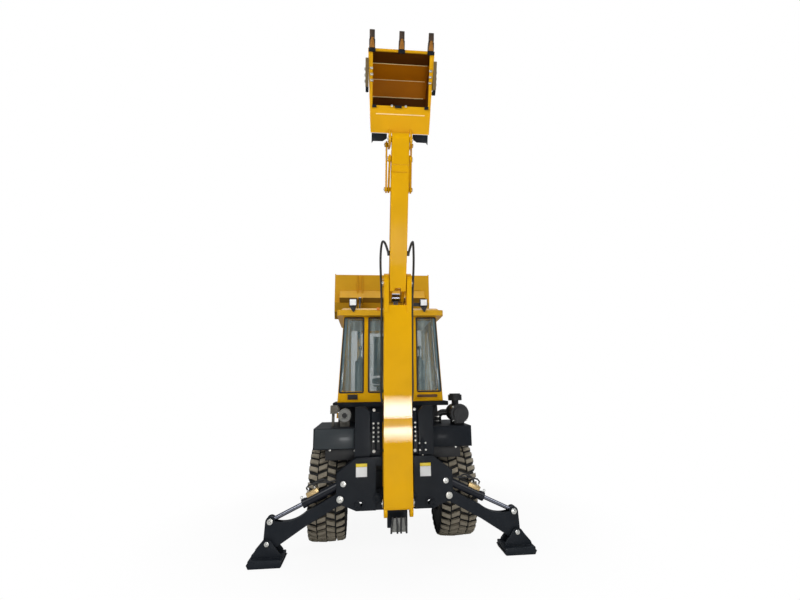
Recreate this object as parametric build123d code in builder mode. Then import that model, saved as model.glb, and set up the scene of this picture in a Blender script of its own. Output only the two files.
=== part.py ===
from build123d import *
import os
from collections import namedtuple
from math import cos, radians, sin, tan

# Backhoe loader with articulated steering, in millimetres.
# +Y points to the loader bucket, +X to the machine's right-hand side, Z is up from the ground.
# Profiles are drawn from the rear axle, which stands REAR_AXLE_Y from the origin.
REAR_AXLE_Y = -744
LEFT = -1
RIGHT = 1
SIDES = (LEFT, RIGHT)
SIDE = Plane(origin=(0, REAR_AXLE_Y, 0), x_dir=(0, 1, 0), z_dir=(1, 0, 0))
TOP = Plane(origin=(0, REAR_AXLE_Y, 0), x_dir=(1, 0, 0), z_dir=(0, 0, 1))
BACK = Plane(origin=(0, REAR_AXLE_Y, 0), x_dir=(1, 0, 0), z_dir=(0, -1, 0))

# Fits
RUNNING_GAP = 0.5
SEAT_GAP = 0.3
MOVING_GAP = 8

# Wheels
WHEELBASE = 2250
HALF_TRACK = 740
TYRE_R = 537.5
TYRE_W = 410
LUG_COUNT = 17
LUG_W = 76
LUG_SLANT = 27
LUG_REACH = 211
RIM_R = 203
RIM_WALL = 9
RIM_HALF_W = 165
FLANGE_R = 226
FLANGE_T = 8
DISC_T = 16
DISC_FACE = 36
HUB_R = 128
SPINDLE_R = 60

# Axles
AXLE_TUBE_R = 82
AXLE_HOUSING_R = 118
AXLE_HOUSING_W = 300
PINION_R = 85

# Rear frame and its steering hinge
HINGE_Y = WHEELBASE / 2
HINGE_PIN_R = 35
HINGE_BOSS_R = 85
YOKE_PLATE_T = 30
TONGUE_Z = 520
TONGUE_T = 170
RAIL_X = 262
RAIL_T = 22
RAIL_REAR_Y = -560
RAIL_FRONT_Y = 985

# Engine and gearbox
ENGINE_HALF_W = 245
ENGINE_Y = 200
ENGINE_LENGTH = 700
ENGINE_Z = 640
ENGINE_H = 490
SHAFT_R = 38

# Cab
CAB_REAR_Y = 40
CAB_FRONT_Y = 1180
CAB_STEP_Y = 560
CAB_FLOOR_Z = 1180
CAB_DECK_Z = 1557
CAB_TOP_Z = 2655
CAB_HALF_W_FLOOR = 697
CAB_HALF_W_TOP = 613
CAB_WALL = 42
WINDSCREEN_BEND_Z = 1900
WINDSCREEN_TOP_Y = 1110
GLASS_T = 6
ROOF_HALF_W = 700
ROOF_EDGE_H = 73
ROOF_CROWN = 35
ROOF_REAR_Y = -50
ROOF_FRONT_Y = 1205
REAR_WINDOW_Z = 1690
REAR_WINDOW_TOP_Z = 2638
DOOR_REAR_Y = 600
DOOR_FRONT_Y = 1125
DOOR_SILL_Z = 1225
DOOR_HEAD_Z = 2610
DOOR_GAP = 6
DOOR_WAIST_Z = 1560
KNUCKLE_R = 14
KNUCKLE_L = 70
KNUCKLE_PIN_R = 6
HINGE_HEIGHTS = (1330, 1900, 2470)

# Deck, fenders and steps
DECK_HALF_W = 725
DECK_Z = 1504
DECK_T = 51
DECK_REAR_Y = -60
PEDESTAL_HALF_W = 430
FENDER_X = PEDESTAL_HALF_W + SEAT_GAP
FENDER_OUT_X = 900
FENDER_Z = 1065
FENDER_TOP_Z = 1290
FENDER_REAR_Y = -522
FENDER_FRONT_Y = 480
ARCH_R = 592

# Backhoe frame and stabilisers
LEG_Y = -646
LEG_W = 90
LEG_PLATE_T = 18
LEG_PLATE_GAP = 102
LEG_FORK_GAP = 54
LEG_PIN_R = 28
PAD_PIN_R = 24
LEG_PIVOT = (582, 592)
LEG_RAM_BASE = (550, 742)
LEG_KNEE = (1293, 400)
LEG_FOOT = (1310, 200)
PAD_HALF_L = 155
PAD_W = 300
PAD_T = 22
UPRIGHT_X = 271
UPRIGHT_OUT_X = 436
UPRIGHT_TOP_Z = 1525
TIE_BORE_R = 25

# Swing post
SWING_Y = -900
SWING_PIN_R = 32
CARRIER_R = 75
CARRIER_LOW_Z = 420
CARRIER_LOW_T = 60
CARRIER_TOP_Z = 760
CARRIER_TOP_T = 60
POST_SPINE_Y = -985
POST_SPINE_T = 60
POST_HALF_W = 100
POST_BOTTOM_Z = 390
POST_TOP_Z = 875
BOOM_RAM_BASE = (-960, 960)

# Boom: its foot pin, knee and tip, as (y, z)
BOOM_FOOT = (-1160, 640)
BOOM_KNEE = (-1116, 1480)
BOOM_TIP = (-1300, 2795)
BOOM_HALF_W = 140
BOOM_EAR_T = 48
BOOM_FOOT_DEPTH = 170
BOOM_KNEE_DEPTH = 250
BOOM_BEND_R = 900
BOOM_TIP_DEPTH = 160
BOOM_NOTCH_Z = 2555
BOOM_FORK_Z = 770
BOOM_RAM_LUG = (-895, 1800)
DIPPER_RAM_BASE = (-925, 2050)
BOOM_BOSS_R = 98

# Dipper: distances along it from the boom tip and forward of its axis
DIPPER_LEAN = 23.9
DIPPER_LENGTH = 1430
DIPPER_HALF_W = 84
DIPPER_TAIL = (-200, 200)
BUCKET_RAM_BASE = (210, 150)
DIPPER_TIP_R = 62
LEVER_PIVOT = (-187, 0)
LEVER_END = (-475, 150)
LEVER_X = 92
LEVER_T = 18
LINK_X = 118
LINK_T = 16
BUCKET_EAR_X = 92
BUCKET_EAR_T = 20
BUCKET_LINK_PIN = (-30, 210)

# Digging bucket, measured from its hinge pin along and forward of the dipper's axis
DIG_MOUTH = 70
DIG_FOOT_E = 64
DIG_APRON_BEND_E = 242
DIG_APRON_E = 323
DIG_LIP_E = 830
DIG_TOOTH_E = 1002
DIG_HALF_W = 288
DIG_LIP_HALF_W = 320
DIG_PLATE_T = 14
DIG_LIP_T = 22

# Loader arms and bucket, as (y, z)
ARM_PIVOT = (1700, 1450)
ARM_ANGLE = 62
ARM_LENGTH = 2050
ARM_X = 441
ARM_W = 60
ARM_PIN_R = 26
TOWER_T = 18
TOWER_GAP = 18
RIB_GAP = 8
LIFT_BASE = (1440, 540)
LIFT_LUG_REACH = 380
LIFT_LUG_DROP = 24
TILT_BASE_BACK = 800
TILT_BASE_RISE = 150
TILT_LUG_REACH = 170
TILT_LUG_ANGLE = 128
LOADER_HALF_W = 940
LOADER_BACK_AHEAD = 188
LOADER_TOP_RISE = 682
LOADER_KNEE_RISE = 120
LOADER_SHIN_RISE = -60
LOADER_HEEL_AHEAD = 313
LOADER_HEEL_RISE = -195
CUTTING_EDGE_T = 25
CUTTING_EDGE_L = 160
CROSS_TUBE_REACH = 1500
LOADER_FLOOR_ANGLE = 22
LOADER_FLOOR_L = 790
LOADER_PLATE_T = 12
LOADER_SIDE_T = 16
LOADER_RIB_T = 12

NECK_CLEARANCE = 14
Ram = namedtuple("Ram", "barrel_r rod_r barrel_length eye_r eye_width pin_r retract")
LIFT_RAM = Ram(36, 20, 670, 38, 54, 19, 555)
TILT_RAM = Ram(34, 17, 560, 34, 44, 16, 225)
BOOM_RAM = Ram(50, 27, 700, 46, 92, 24, 0)
DIPPER_RAM = Ram(44, 24, 560, 44, 84, 22, 0)
BUCKET_RAM = Ram(40, 22, DIPPER_LENGTH - 810, 40, 72, 20, 0)
LEG_RAM = Ram(43, 22, 465, 42, 46, 20, 206)


def yz(point):
    """Point (y, z) of a side profile as a vector in the machine's middle plane."""
    return Vector(0, REAR_AXLE_Y + point[0], point[1])


def toward(start, angle, distance):
    """Point (y, z) at a distance from start, the angle in degrees from +Y up to +Z."""
    return (start[0] + distance * cos(radians(angle)), start[1] + distance * sin(radians(angle)))


def between(a, b, share):
    """Point a share of the way from a to b."""
    return (a[0] + (b[0] - a[0]) * share, a[1] + (b[1] - a[1]) * share)


def face_on(plane, points, radius=0, gap=0):
    """Face with straight sides through the points, moved in by a gap, its corners rounded."""
    with BuildSketch(plane) as sketch:
        with BuildLine():
            Polyline(*points, close=True)
        make_face()
        if gap:
            offset(amount=-gap, kind=Kind.INTERSECTION)
        if radius:
            fillet(sketch.vertices(), radius)
    return sketch.sketch


def hull_on(plane, discs):
    """Face wrapped round discs given as (u, v, radius)."""
    with BuildSketch(plane) as sketch:
        for u, v, radius in discs:
            with Locations((u, v)):
                Circle(radius)
        make_hull()
    return sketch.sketch


def disc_on(plane, point, radius):
    """Round face at a point of a plane."""
    with BuildSketch(plane) as sketch:
        with Locations(point):
            Circle(radius)
    return sketch.sketch


def side_plate(points, x_from, x_to, radius=0, mode=Mode.ADD):
    """Plate with a side outline of (y, z) points, between two X values."""
    low, high = sorted((x_from, x_to))
    extrude(face_on(SIDE.offset(low), points, radius), amount=high - low, mode=mode)


def side_hull(discs, x_from, x_to, mode=Mode.ADD):
    """Plate wrapped round discs (y, z, radius), between two X values."""
    low, high = sorted((x_from, x_to))
    extrude(hull_on(SIDE.offset(low), discs), amount=high - low, mode=mode)


def cross_bar(point, radius, x_from, x_to, mode=Mode.ADD):
    """Round bar or bore along X at (y, z), between two X values."""
    low, high = sorted((x_from, x_to))
    extrude(disc_on(SIDE.offset(low), point, radius), amount=high - low, mode=mode)


def block(x_range, y_range, z_range, radius=0, mode=Mode.ADD):
    """Box between the given values, its upright edges rounded by the radius."""
    corners = [(x, y) for x, y in zip(
        (x_range[0], x_range[1], x_range[1], x_range[0]),
        (y_range[0], y_range[0], y_range[1], y_range[1]))]
    extrude(face_on(TOP.offset(z_range[0]), corners, radius), amount=z_range[1] - z_range[0], mode=mode)


def upright_bar(x, y, radius, z_from, z_to, mode=Mode.ADD):
    """Round bar or bore along Z."""
    extrude(disc_on(TOP.offset(z_from), (x, y), radius), amount=z_to - z_from, mode=mode)


def back_plate(points, y_from, y_to, radius=0, mode=Mode.ADD):
    """Plate with a rear-view outline of (x, z) points, between two Y values."""
    low, high = sorted((y_from, y_to))
    extrude(face_on(BACK.offset(-high), points, radius), amount=high - low, mode=mode)


def long_bar(x, z, radius, y_from, y_to, mode=Mode.ADD):
    """Round bar or bore along Y."""
    low, high = sorted((y_from, y_to))
    extrude(disc_on(BACK.offset(-high), (x, z), radius), amount=high - low, mode=mode)


def ram_barrel(base, eye, across, ram):
    """Barrel from its pinned eye to its gland, bored for its rod."""
    axis = (eye - base).normalized()
    pin = Plane(origin=base, x_dir=axis, z_dir=across)
    along = Plane(origin=base, z_dir=axis)
    with BuildPart() as barrel:
        extrude(disc_on(along.offset(ram.eye_r / 2), (0, 0), ram.eye_width / 2 - 2), amount=ram.eye_r)
        start = ram.eye_r + NECK_CLEARANCE
        extrude(disc_on(along.offset(start), (0, 0), ram.barrel_r), amount=ram.barrel_length - start)
        extrude(disc_on(along.offset(ram.barrel_length - ram.barrel_r), (0, 0), ram.barrel_r + 5),
                amount=ram.barrel_r)
        extrude(disc_on(pin.offset(-ram.eye_width / 2), (0, 0), ram.eye_r), amount=ram.eye_width)
        extrude(disc_on(pin.offset(-ram.eye_width), (0, 0), ram.pin_r + SEAT_GAP),
                amount=2 * ram.eye_width, mode=Mode.SUBTRACT)
        extrude(disc_on(along.offset(2 * ram.eye_r), (0, 0), ram.rod_r + RUNNING_GAP),
                amount=ram.barrel_length, mode=Mode.SUBTRACT)
    return barrel.part


def ram_rod(base, eye, across, ram):
    """Rod from inside its barrel to its eye."""
    axis = (eye - base).normalized()
    length = (eye - base).length
    pin = Plane(origin=eye, x_dir=axis, z_dir=across)
    along = Plane(origin=base, z_dir=axis)
    start = 2 * ram.eye_r + MOVING_GAP + ram.retract
    with BuildPart() as rod:
        extrude(disc_on(along.offset(start), (0, 0), ram.rod_r), amount=length - start - ram.eye_r / 2)
        extrude(disc_on(pin.offset(-ram.eye_width / 2), (0, 0), ram.eye_r), amount=ram.eye_width)
        extrude(disc_on(pin.offset(-ram.eye_width), (0, 0), ram.pin_r), amount=2 * ram.eye_width,
                mode=Mode.SUBTRACT)
    return rod.part


os.makedirs("parts", exist_ok=True)
ACROSS = Vector(1, 0, 0)

# Tyres and rims, one of each a wheel: name, side, y of the axle
WHEELS = (
    ("rear_left", LEFT, 0),
    ("rear_right", RIGHT, 0),
    ("front_left", LEFT, WHEELBASE),
    ("front_right", RIGHT, WHEELBASE),
)
BEAD_A = 157
BORE_R = RIM_R + SEAT_GAP
# Half outline of the carcass and side view of a lug: distance from the middle, height above the axle
WALL_R = 366
CARCASS = ((-TYRE_W / 2, WALL_R), (-180, 496), (180, 496), (TYRE_W / 2, WALL_R))
LUG_OUTLINE = ((9, 480), (9, 532), (LUG_REACH - 8, 513), (LUG_REACH, 445))
lugs = []
for row in SIDES:
    slant = radians(LUG_SLANT)
    lug_plane = Plane(origin=(0, -LUG_REACH * sin(slant) / 2, 0), x_dir=(row * cos(slant), sin(slant), 0),
                      z_dir=(row * sin(slant), -cos(slant), 0))
    with BuildPart() as lug:
        extrude(face_on(lug_plane, [(along, row * height) for along, height in LUG_OUTLINE]),
                amount=LUG_W / 2, both=True)
    for turn in range(LUG_COUNT):
        lugs.append(lug.part.moved(Rot((turn + row / 4) * 360 / LUG_COUNT, 0, 0)))
with BuildPart() as carcass:
    for across, radius in CARCASS:
        with BuildSketch(Plane.YZ.offset(across)):
            RegularPolygon(radius, 2 * LUG_COUNT, major_radius=False)
    loft(ruled=True)
    add(lugs)
    for side in SIDES:
        for across, radius in ((side * TYRE_W / 2, WALL_R), (side * BEAD_A, BORE_R)):
            with BuildSketch(Plane.YZ.offset(across)):
                RegularPolygon(radius, 2 * LUG_COUNT, major_radius=False)
        loft(ruled=True, mode=Mode.SUBTRACT)
    with BuildSketch(Plane.YZ.offset(-BEAD_A)):
        RegularPolygon(BORE_R, 2 * LUG_COUNT, major_radius=False)
    extrude(amount=2 * BEAD_A, mode=Mode.SUBTRACT)
for wheel, side, axle_y in WHEELS:
    centre = Vector(side * HALF_TRACK, REAR_AXLE_Y + axle_y, TYRE_R)
    tyre = carcass.part.moved(Location(centre))
    tyre.label = "tyre_" + wheel
    export_step(tyre, "parts/tyre_" + wheel + ".step")
    section = Plane(origin=centre, x_dir=(side, 0, 0), z_dir=(0, -side, 0))
    spin = Axis(centre, (1, 0, 0))
    with BuildPart() as rim:
        with BuildSketch(section):
            with Locations((0, RIM_R - RIM_WALL / 2)):
                Rectangle(2 * RIM_HALF_W, RIM_WALL)
            for end in SIDES:
                with Locations((end * (RIM_HALF_W + FLANGE_T / 2), (RIM_R - RIM_WALL + FLANGE_R) / 2)):
                    Rectangle(FLANGE_T, FLANGE_R - RIM_R + RIM_WALL)
            with BuildLine():
                bore = SPINDLE_R + RUNNING_GAP
                Polyline((DISC_FACE, bore), (DISC_FACE, HUB_R), (DISC_FACE + 58, RIM_R - RIM_WALL),
                         (DISC_FACE + 58 - DISC_T, RIM_R - RIM_WALL), (DISC_FACE - DISC_T, HUB_R + 6),
                         (DISC_FACE - DISC_T, bore), close=True)
            make_face()
        revolve(axis=spin)
    rim.part.label = "rim_" + wheel
    export_step(rim.part, "parts/rim_" + wheel + ".step")

# Axles: name, y, height of the seat that carries the frame
SADDLE_Z = 660
for name, axle_y in (("rear_axle", 0), ("front_axle", WHEELBASE)):
    middle = (axle_y, TYRE_R)
    with BuildPart() as axle:
        cross_bar(middle, AXLE_TUBE_R, -HALF_TRACK, HALF_TRACK)
        cross_bar(middle, AXLE_HOUSING_R, -AXLE_HOUSING_W / 2, AXLE_HOUSING_W / 2)
        long_bar(0, TYRE_R, PINION_R, axle_y - 190, axle_y + 190)
        for side in SIDES:
            hub_end = HALF_TRACK + DISC_FACE - DISC_T - RUNNING_GAP
            cross_bar(middle, HUB_R, side * 575, side * hub_end)
            cross_bar(middle, SPINDLE_R, side * hub_end, side * (HALF_TRACK + DISC_FACE + 34))
            block(sorted((side * 190, side * 300)), (axle_y - 85, axle_y + 85), (TYRE_R, SADDLE_Z))
    axle.part.label = name
    export_step(axle.part, "parts/" + name + ".step")

# Rear frame: rails, cross members, hinge yoke, steps
FRAME_BASE_Z = SADDLE_Z + SEAT_GAP
with BuildPart() as rear_frame:
    for side in SIDES:
        side_plate(((RAIL_REAR_Y, FRAME_BASE_Z), (RAIL_FRONT_Y, FRAME_BASE_Z), (RAIL_FRONT_Y, 790),
                    (RAIL_FRONT_Y - 120, 840), (RAIL_REAR_Y, 840)), side * RAIL_X, side * (RAIL_X + RAIL_T))
        block(sorted((side * (RAIL_X + RAIL_T), side * 500)), (560, 640), (780, 840))
        block(sorted((side * 480, side * 500)), (560, 1000), (300, 840))
        for tread_z in (300, 560):
            block(sorted((side * 500, side * 700)), (600, 960), (tread_z, tread_z + 30))
        block(sorted((side * 700, side * 712)), (600, 960), (290, 600))
    block((-RAIL_X, RAIL_X), (RAIL_REAR_Y, RAIL_REAR_Y + 30), (FRAME_BASE_Z, 840))
    block((-RAIL_X, RAIL_X), (RAIL_FRONT_Y - 30, RAIL_FRONT_Y), (FRAME_BASE_Z - 210, 790))
    for z_low in (TONGUE_Z - YOKE_PLATE_T - 2, TONGUE_Z + TONGUE_T + 2):
        extrude(hull_on(TOP.offset(z_low), ((0, HINGE_Y, HINGE_BOSS_R), (-150, RAIL_FRONT_Y - 40, 30),
                                            (150, RAIL_FRONT_Y - 40, 30))), amount=YOKE_PLATE_T)
    upright_bar(0, HINGE_Y, HINGE_PIN_R, TONGUE_Z - YOKE_PLATE_T, TONGUE_Z + TONGUE_T + YOKE_PLATE_T)
rear_frame.part.label = "rear_frame"
export_step(rear_frame.part, "parts/rear_frame.step")

# Front frame: tongue, deck, loader towers, cylinder brackets, tow hitch, fenders
INNER_TOWER_X = ARM_X - ARM_W / 2 - TOWER_GAP - TOWER_T
OUTER_TOWER_X = ARM_X + ARM_W / 2 + TOWER_GAP
TOW_PIN_R = 16
TOW_PIN_Y = 2690
TOW_PLATE_Z = 670
TOW_PLATE_T = 50
BEAM_REAR_Y = 1560
BEAM_FRONT_Y = 2640
BEAM_TOP_Z = 800
TOWER_TIE_Y = (1740, 1880)
TOWER_TIE_Z = 760
with BuildPart() as front_frame:
    extrude(hull_on(TOP.offset(TONGUE_Z), ((0, HINGE_Y, HINGE_BOSS_R), (-60, 1500, 40), (60, 1500, 40))),
            amount=TONGUE_T)
    block((-150, 150), (BEAM_REAR_Y - 90, BEAM_REAR_Y + 440), (FRAME_BASE_Z, BEAM_TOP_Z))
    block((-310, 310), (BEAM_REAR_Y, BEAM_FRONT_Y), (FRAME_BASE_Z, BEAM_TOP_Z))
    block((-130, 130), (BEAM_FRONT_Y - 40, TOW_PIN_Y + 45), (TOW_PLATE_Z, TOW_PLATE_Z + TOW_PLATE_T))
    for side in SIDES:
        block(sorted((side * 310, side * OUTER_TOWER_X)), TOWER_TIE_Y,
              (FRAME_BASE_Z, TOWER_TIE_Z))
        for end in (-1, 1):
            spacer = side * ARM_X + end * (LIFT_RAM.eye_width / 2 + RUNNING_GAP)
            cross_bar(LIFT_BASE, 32, spacer, side * ARM_X + end * (ARM_W / 2 + TOWER_GAP))
        for x_low in (INNER_TOWER_X, OUTER_TOWER_X):
            side_hull(((ARM_PIVOT[0], ARM_PIVOT[1], 80), (1640, 760, 40), (1880, 700, 40)),
                      side * x_low, side * (x_low + TOWER_T))
            side_hull(((LIFT_BASE[0], LIFT_BASE[1], 48), (1600, 640, 55), (1700, 730, 60)),
                      side * x_low, side * (x_low + TOWER_T))
            outward = 1 if x_low > ARM_X else -1
            cross_bar(ARM_PIVOT, 45, side * (x_low + TOWER_T / 2), side * (x_low + TOWER_T / 2 + outward * 17))
        cross_bar(ARM_PIVOT, 30, side * INNER_TOWER_X, side * (OUTER_TOWER_X + TOWER_T))
        cross_bar(LIFT_BASE, LIFT_RAM.pin_r, side * INNER_TOWER_X, side * (OUTER_TOWER_X + TOWER_T))
        with BuildSketch(SIDE.offset(side * 520 if side > 0 else -930)) as guard:
            with Locations((WHEELBASE, TYRE_R)):
                Circle(ARCH_R + 14)
                Circle(ARCH_R, mode=Mode.SUBTRACT)
            with Locations((WHEELBASE, TYRE_R - 330)):
                Rectangle(3 * ARCH_R, 2 * ARCH_R + 900, mode=Mode.SUBTRACT)
        extrude(guard.sketch, amount=410)
        block(sorted((side * 300, side * 510)), (WHEELBASE - 40, WHEELBASE + 40), (740, 800))
        block(sorted((side * 508, side * 524)), (WHEELBASE - 40, WHEELBASE + 40), (740, 1138))
    upright_bar(0, HINGE_Y, HINGE_PIN_R + RUNNING_GAP, TONGUE_Z, TONGUE_Z + TONGUE_T, mode=Mode.SUBTRACT)
    upright_bar(0, TOW_PIN_Y, TOW_PIN_R, TOW_PLATE_Z - 5, TOW_PLATE_Z + TOW_PLATE_T + 5, mode=Mode.SUBTRACT)
front_frame.part.label = "front_frame"
export_step(front_frame.part, "parts/front_frame.step")

# Powertrain: engine block on its rails, gearbox and drive shafts
with BuildPart() as powertrain:
    block((-ENGINE_HALF_W, ENGINE_HALF_W), (ENGINE_Y, ENGINE_Y + ENGINE_LENGTH),
          (FRAME_BASE_Z + 40, ENGINE_Z + ENGINE_H), radius=20)
    block((-150, 150), (ENGINE_Y + 120, ENGINE_Y + 480), (430, FRAME_BASE_Z + 60), radius=20)
    for side in SIDES:
        block(sorted((side * (ENGINE_HALF_W - 5), side * (RAIL_X - SEAT_GAP))), (300, 380), (740, 800))
        block(sorted((side * (ENGINE_HALF_W - 5), side * (RAIL_X - SEAT_GAP))), (720, 800), (740, 800))
    long_bar(0, TYRE_R, SHAFT_R, 190 + SEAT_GAP, ENGINE_Y + 130)
powertrain.part.label = "powertrain"
export_step(powertrain.part, "parts/powertrain.step")

# Louvred side covers beside the engine
COVER_X = 500
COVER_REAR_Y = FENDER_FRONT_Y + 10
COVER_T = 14
LOUVRE_PITCH = 48
LOUVRE_COUNT = 6
with BuildPart() as side_covers:
    for side in SIDES:
        block(sorted((side * COVER_X, side * (COVER_X + COVER_T))), (COVER_REAR_Y, 1000), (842, 1178))
        block(sorted((side * (RAIL_X + RAIL_T + SEAT_GAP), side * COVER_X)), (COVER_REAR_Y, COVER_REAR_Y + 14),
              (842, CAB_FLOOR_Z - 50))
        block(sorted((side * (RAIL_X + RAIL_T + SEAT_GAP), side * COVER_X)), (986, 1000), (842, 1178))
        for row in range(LOUVRE_COUNT):
            block(sorted((side * COVER_X, side * (COVER_X + COVER_T))), (620, 900),
                  (890 + row * LOUVRE_PITCH, 890 + row * LOUVRE_PITCH + 20), mode=Mode.SUBTRACT)
side_covers.part.label = "side_covers"
export_step(side_covers.part, "parts/side_covers.step")

# Boxed rear fenders
with BuildPart() as rear_fenders:
    for side in SIDES:
        block(sorted((side * FENDER_X, side * FENDER_OUT_X)), (FENDER_REAR_Y, FENDER_FRONT_Y),
              (FENDER_Z, FENDER_TOP_Z))
        cross_bar((0, TYRE_R), ARCH_R, side * (FENDER_X + 85), side * (FENDER_OUT_X + 5), mode=Mode.SUBTRACT)
rear_fenders.part.label = "rear_fenders"
export_step(rear_fenders.part, "parts/rear_fenders.step")

# Deck under the rear of the cab, on its pedestal
with BuildPart() as cab_base:
    block((-DECK_HALF_W, DECK_HALF_W), (DECK_REAR_Y, CAB_STEP_Y - SEAT_GAP), (DECK_Z, DECK_Z + DECK_T))
    block((-PEDESTAL_HALF_W, PEDESTAL_HALF_W), (0, CAB_STEP_Y - SEAT_GAP), (CAB_FLOOR_Z - 5, DECK_Z))
    block((-PEDESTAL_HALF_W, PEDESTAL_HALF_W), (0, 980), (CAB_FLOOR_Z - SEAT_GAP - 40, CAB_FLOOR_Z - SEAT_GAP))
    for side in SIDES:
        block(sorted((side * RAIL_X, side * (RAIL_X + RAIL_T))), (0, 60), (840 + SEAT_GAP, CAB_FLOOR_Z))
        block(sorted((side * RAIL_X, side * (RAIL_X + RAIL_T))), (800, 860), (840 + SEAT_GAP, CAB_FLOOR_Z - 10))
cab_base.part.label = "cab_base"
export_step(cab_base.part, "parts/cab_base.step")

# Cab shell: an L-shaped side outline between two leaning sides
SIDE_LEAN = (CAB_HALF_W_FLOOR - CAB_HALF_W_TOP) / (CAB_TOP_Z - CAB_FLOOR_Z)
CAB_OUTLINE = (
    (CAB_REAR_Y, CAB_DECK_Z), (CAB_STEP_Y, CAB_DECK_Z), (CAB_STEP_Y, CAB_FLOOR_Z), (CAB_FRONT_Y, CAB_FLOOR_Z),
    (CAB_FRONT_Y, WINDSCREEN_BEND_Z), (WINDSCREEN_TOP_Y, CAB_TOP_Z), (CAB_REAR_Y, CAB_TOP_Z))


def cab_half_width(z, inset=0):
    """Half-width of the cab's leaning sides at a height."""
    return CAB_HALF_W_FLOOR - (z - CAB_FLOOR_Z) * SIDE_LEAN - inset


def lean_points(z_from, z_to, inset=0):
    """Rear-view outline between the leaning sides."""
    return ((-cab_half_width(z_from, inset), z_from), (cab_half_width(z_from, inset), z_from),
            (cab_half_width(z_to, inset), z_to), (-cab_half_width(z_to, inset), z_to))


def knuckle_plane(side, z):
    """Plane across a door hinge's leaning axis, at a height."""
    x = side * (cab_half_width(z) + KNUCKLE_R + RUNNING_GAP)
    return Plane(origin=(x, REAR_AXLE_Y + DOOR_REAR_Y + DOOR_GAP, z), z_dir=(-side * SIDE_LEAN, 0, 1))


REAR_PANES = ((-640, -352), (-284, 290), (346, 640))
DOOR_POINTS = ((DOOR_REAR_Y, DOOR_SILL_Z), (DOOR_FRONT_Y, DOOR_SILL_Z), (DOOR_FRONT_Y, WINDSCREEN_BEND_Z),
               (DOOR_FRONT_Y - 62, DOOR_HEAD_Z), (DOOR_REAR_Y, DOOR_HEAD_Z))
SIDE_PANE = ((150, 1700), (CAB_STEP_Y - 60, 1700), (CAB_STEP_Y - 60, DOOR_HEAD_Z), (150, DOOR_HEAD_Z))
SCREEN_HALF_W = 545
SCREEN_POINTS = ((-SCREEN_HALF_W, 1290), (SCREEN_HALF_W, 1290), (SCREEN_HALF_W, 2600), (-SCREEN_HALF_W, 2600))
with BuildPart() as cab_shell:
    side_plate(CAB_OUTLINE, -CAB_HALF_W_FLOOR, CAB_HALF_W_FLOOR)
    back_plate(lean_points(CAB_FLOOR_Z, CAB_TOP_Z), CAB_REAR_Y, CAB_FRONT_Y, mode=Mode.INTERSECT)
    with BuildSketch(SIDE.offset(-CAB_HALF_W_FLOOR)) as cavity:
        with BuildLine():
            Polyline(*CAB_OUTLINE, close=True)
        make_face()
        offset(amount=-CAB_WALL)
    cavity_solid = extrude(cavity.sketch, amount=2 * CAB_HALF_W_FLOOR, mode=Mode.PRIVATE)
    inner = face_on(BACK.offset(-CAB_FRONT_Y), lean_points(CAB_FLOOR_Z, CAB_TOP_Z, CAB_WALL))
    inner_solid = extrude(inner, amount=CAB_FRONT_Y - CAB_REAR_Y, mode=Mode.PRIVATE)
    add(cavity_solid & inner_solid, mode=Mode.SUBTRACT)
    for pane_from, pane_to in REAR_PANES:
        limit = cab_half_width(REAR_WINDOW_TOP_Z, 50)
        back_plate(((max(pane_from, -cab_half_width(REAR_WINDOW_Z, 50)), REAR_WINDOW_Z),
                    (min(pane_to, cab_half_width(REAR_WINDOW_Z, 50)), REAR_WINDOW_Z),
                    (min(pane_to, limit), REAR_WINDOW_TOP_Z), (max(pane_from, -limit), REAR_WINDOW_TOP_Z)),
                   CAB_REAR_Y - 5, CAB_REAR_Y + CAB_WALL + 5, radius=30, mode=Mode.SUBTRACT)
    for side in SIDES:
        side_plate(DOOR_POINTS, side * 450, side * 760, mode=Mode.SUBTRACT)
        side_plate(SIDE_PANE, side * 450, side * 760, radius=30, mode=Mode.SUBTRACT)
        for z in HINGE_HEIGHTS:
            upper = knuckle_plane(side, z).offset(KNUCKLE_L / 2 + RUNNING_GAP)
            extrude(disc_on(upper, (0, 0), KNUCKLE_R), amount=KNUCKLE_L / 2)
            extrude(disc_on(knuckle_plane(side, z), (0, 0), KNUCKLE_PIN_R), amount=KNUCKLE_L)
            x = side * (cab_half_width(z) + KNUCKLE_R)
            block(sorted((x, x - side * (KNUCKLE_R + 12))), (DOOR_REAR_Y - 34, DOOR_REAR_Y),
                  (z + KNUCKLE_L / 2 + 5, z + KNUCKLE_L - 4))
    back_plate(SCREEN_POINTS,
               CAB_FRONT_Y - 130, CAB_FRONT_Y + 5, radius=30, mode=Mode.SUBTRACT)
cab_shell.part.label = "cab_shell"
export_step(cab_shell.part, "parts/cab_shell.step")

# Cab roof with its overhanging edge
with BuildPart() as cab_roof:
    block((-ROOF_HALF_W, ROOF_HALF_W), (ROOF_REAR_Y, ROOF_FRONT_Y),
          (CAB_TOP_Z + SEAT_GAP, CAB_TOP_Z + ROOF_EDGE_H), radius=45)
    with BuildSketch(TOP.offset(CAB_TOP_Z + ROOF_EDGE_H)) as crown:
        with Locations((0, (ROOF_REAR_Y + ROOF_FRONT_Y) / 2)):
            RectangleRounded(2 * ROOF_HALF_W - 60, ROOF_FRONT_Y - ROOF_REAR_Y - 60, 45)
    extrude(crown.sketch, amount=ROOF_CROWN, taper=55)
cab_roof.part.label = "cab_roof"
export_step(cab_roof.part, "parts/cab_roof.step")


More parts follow.
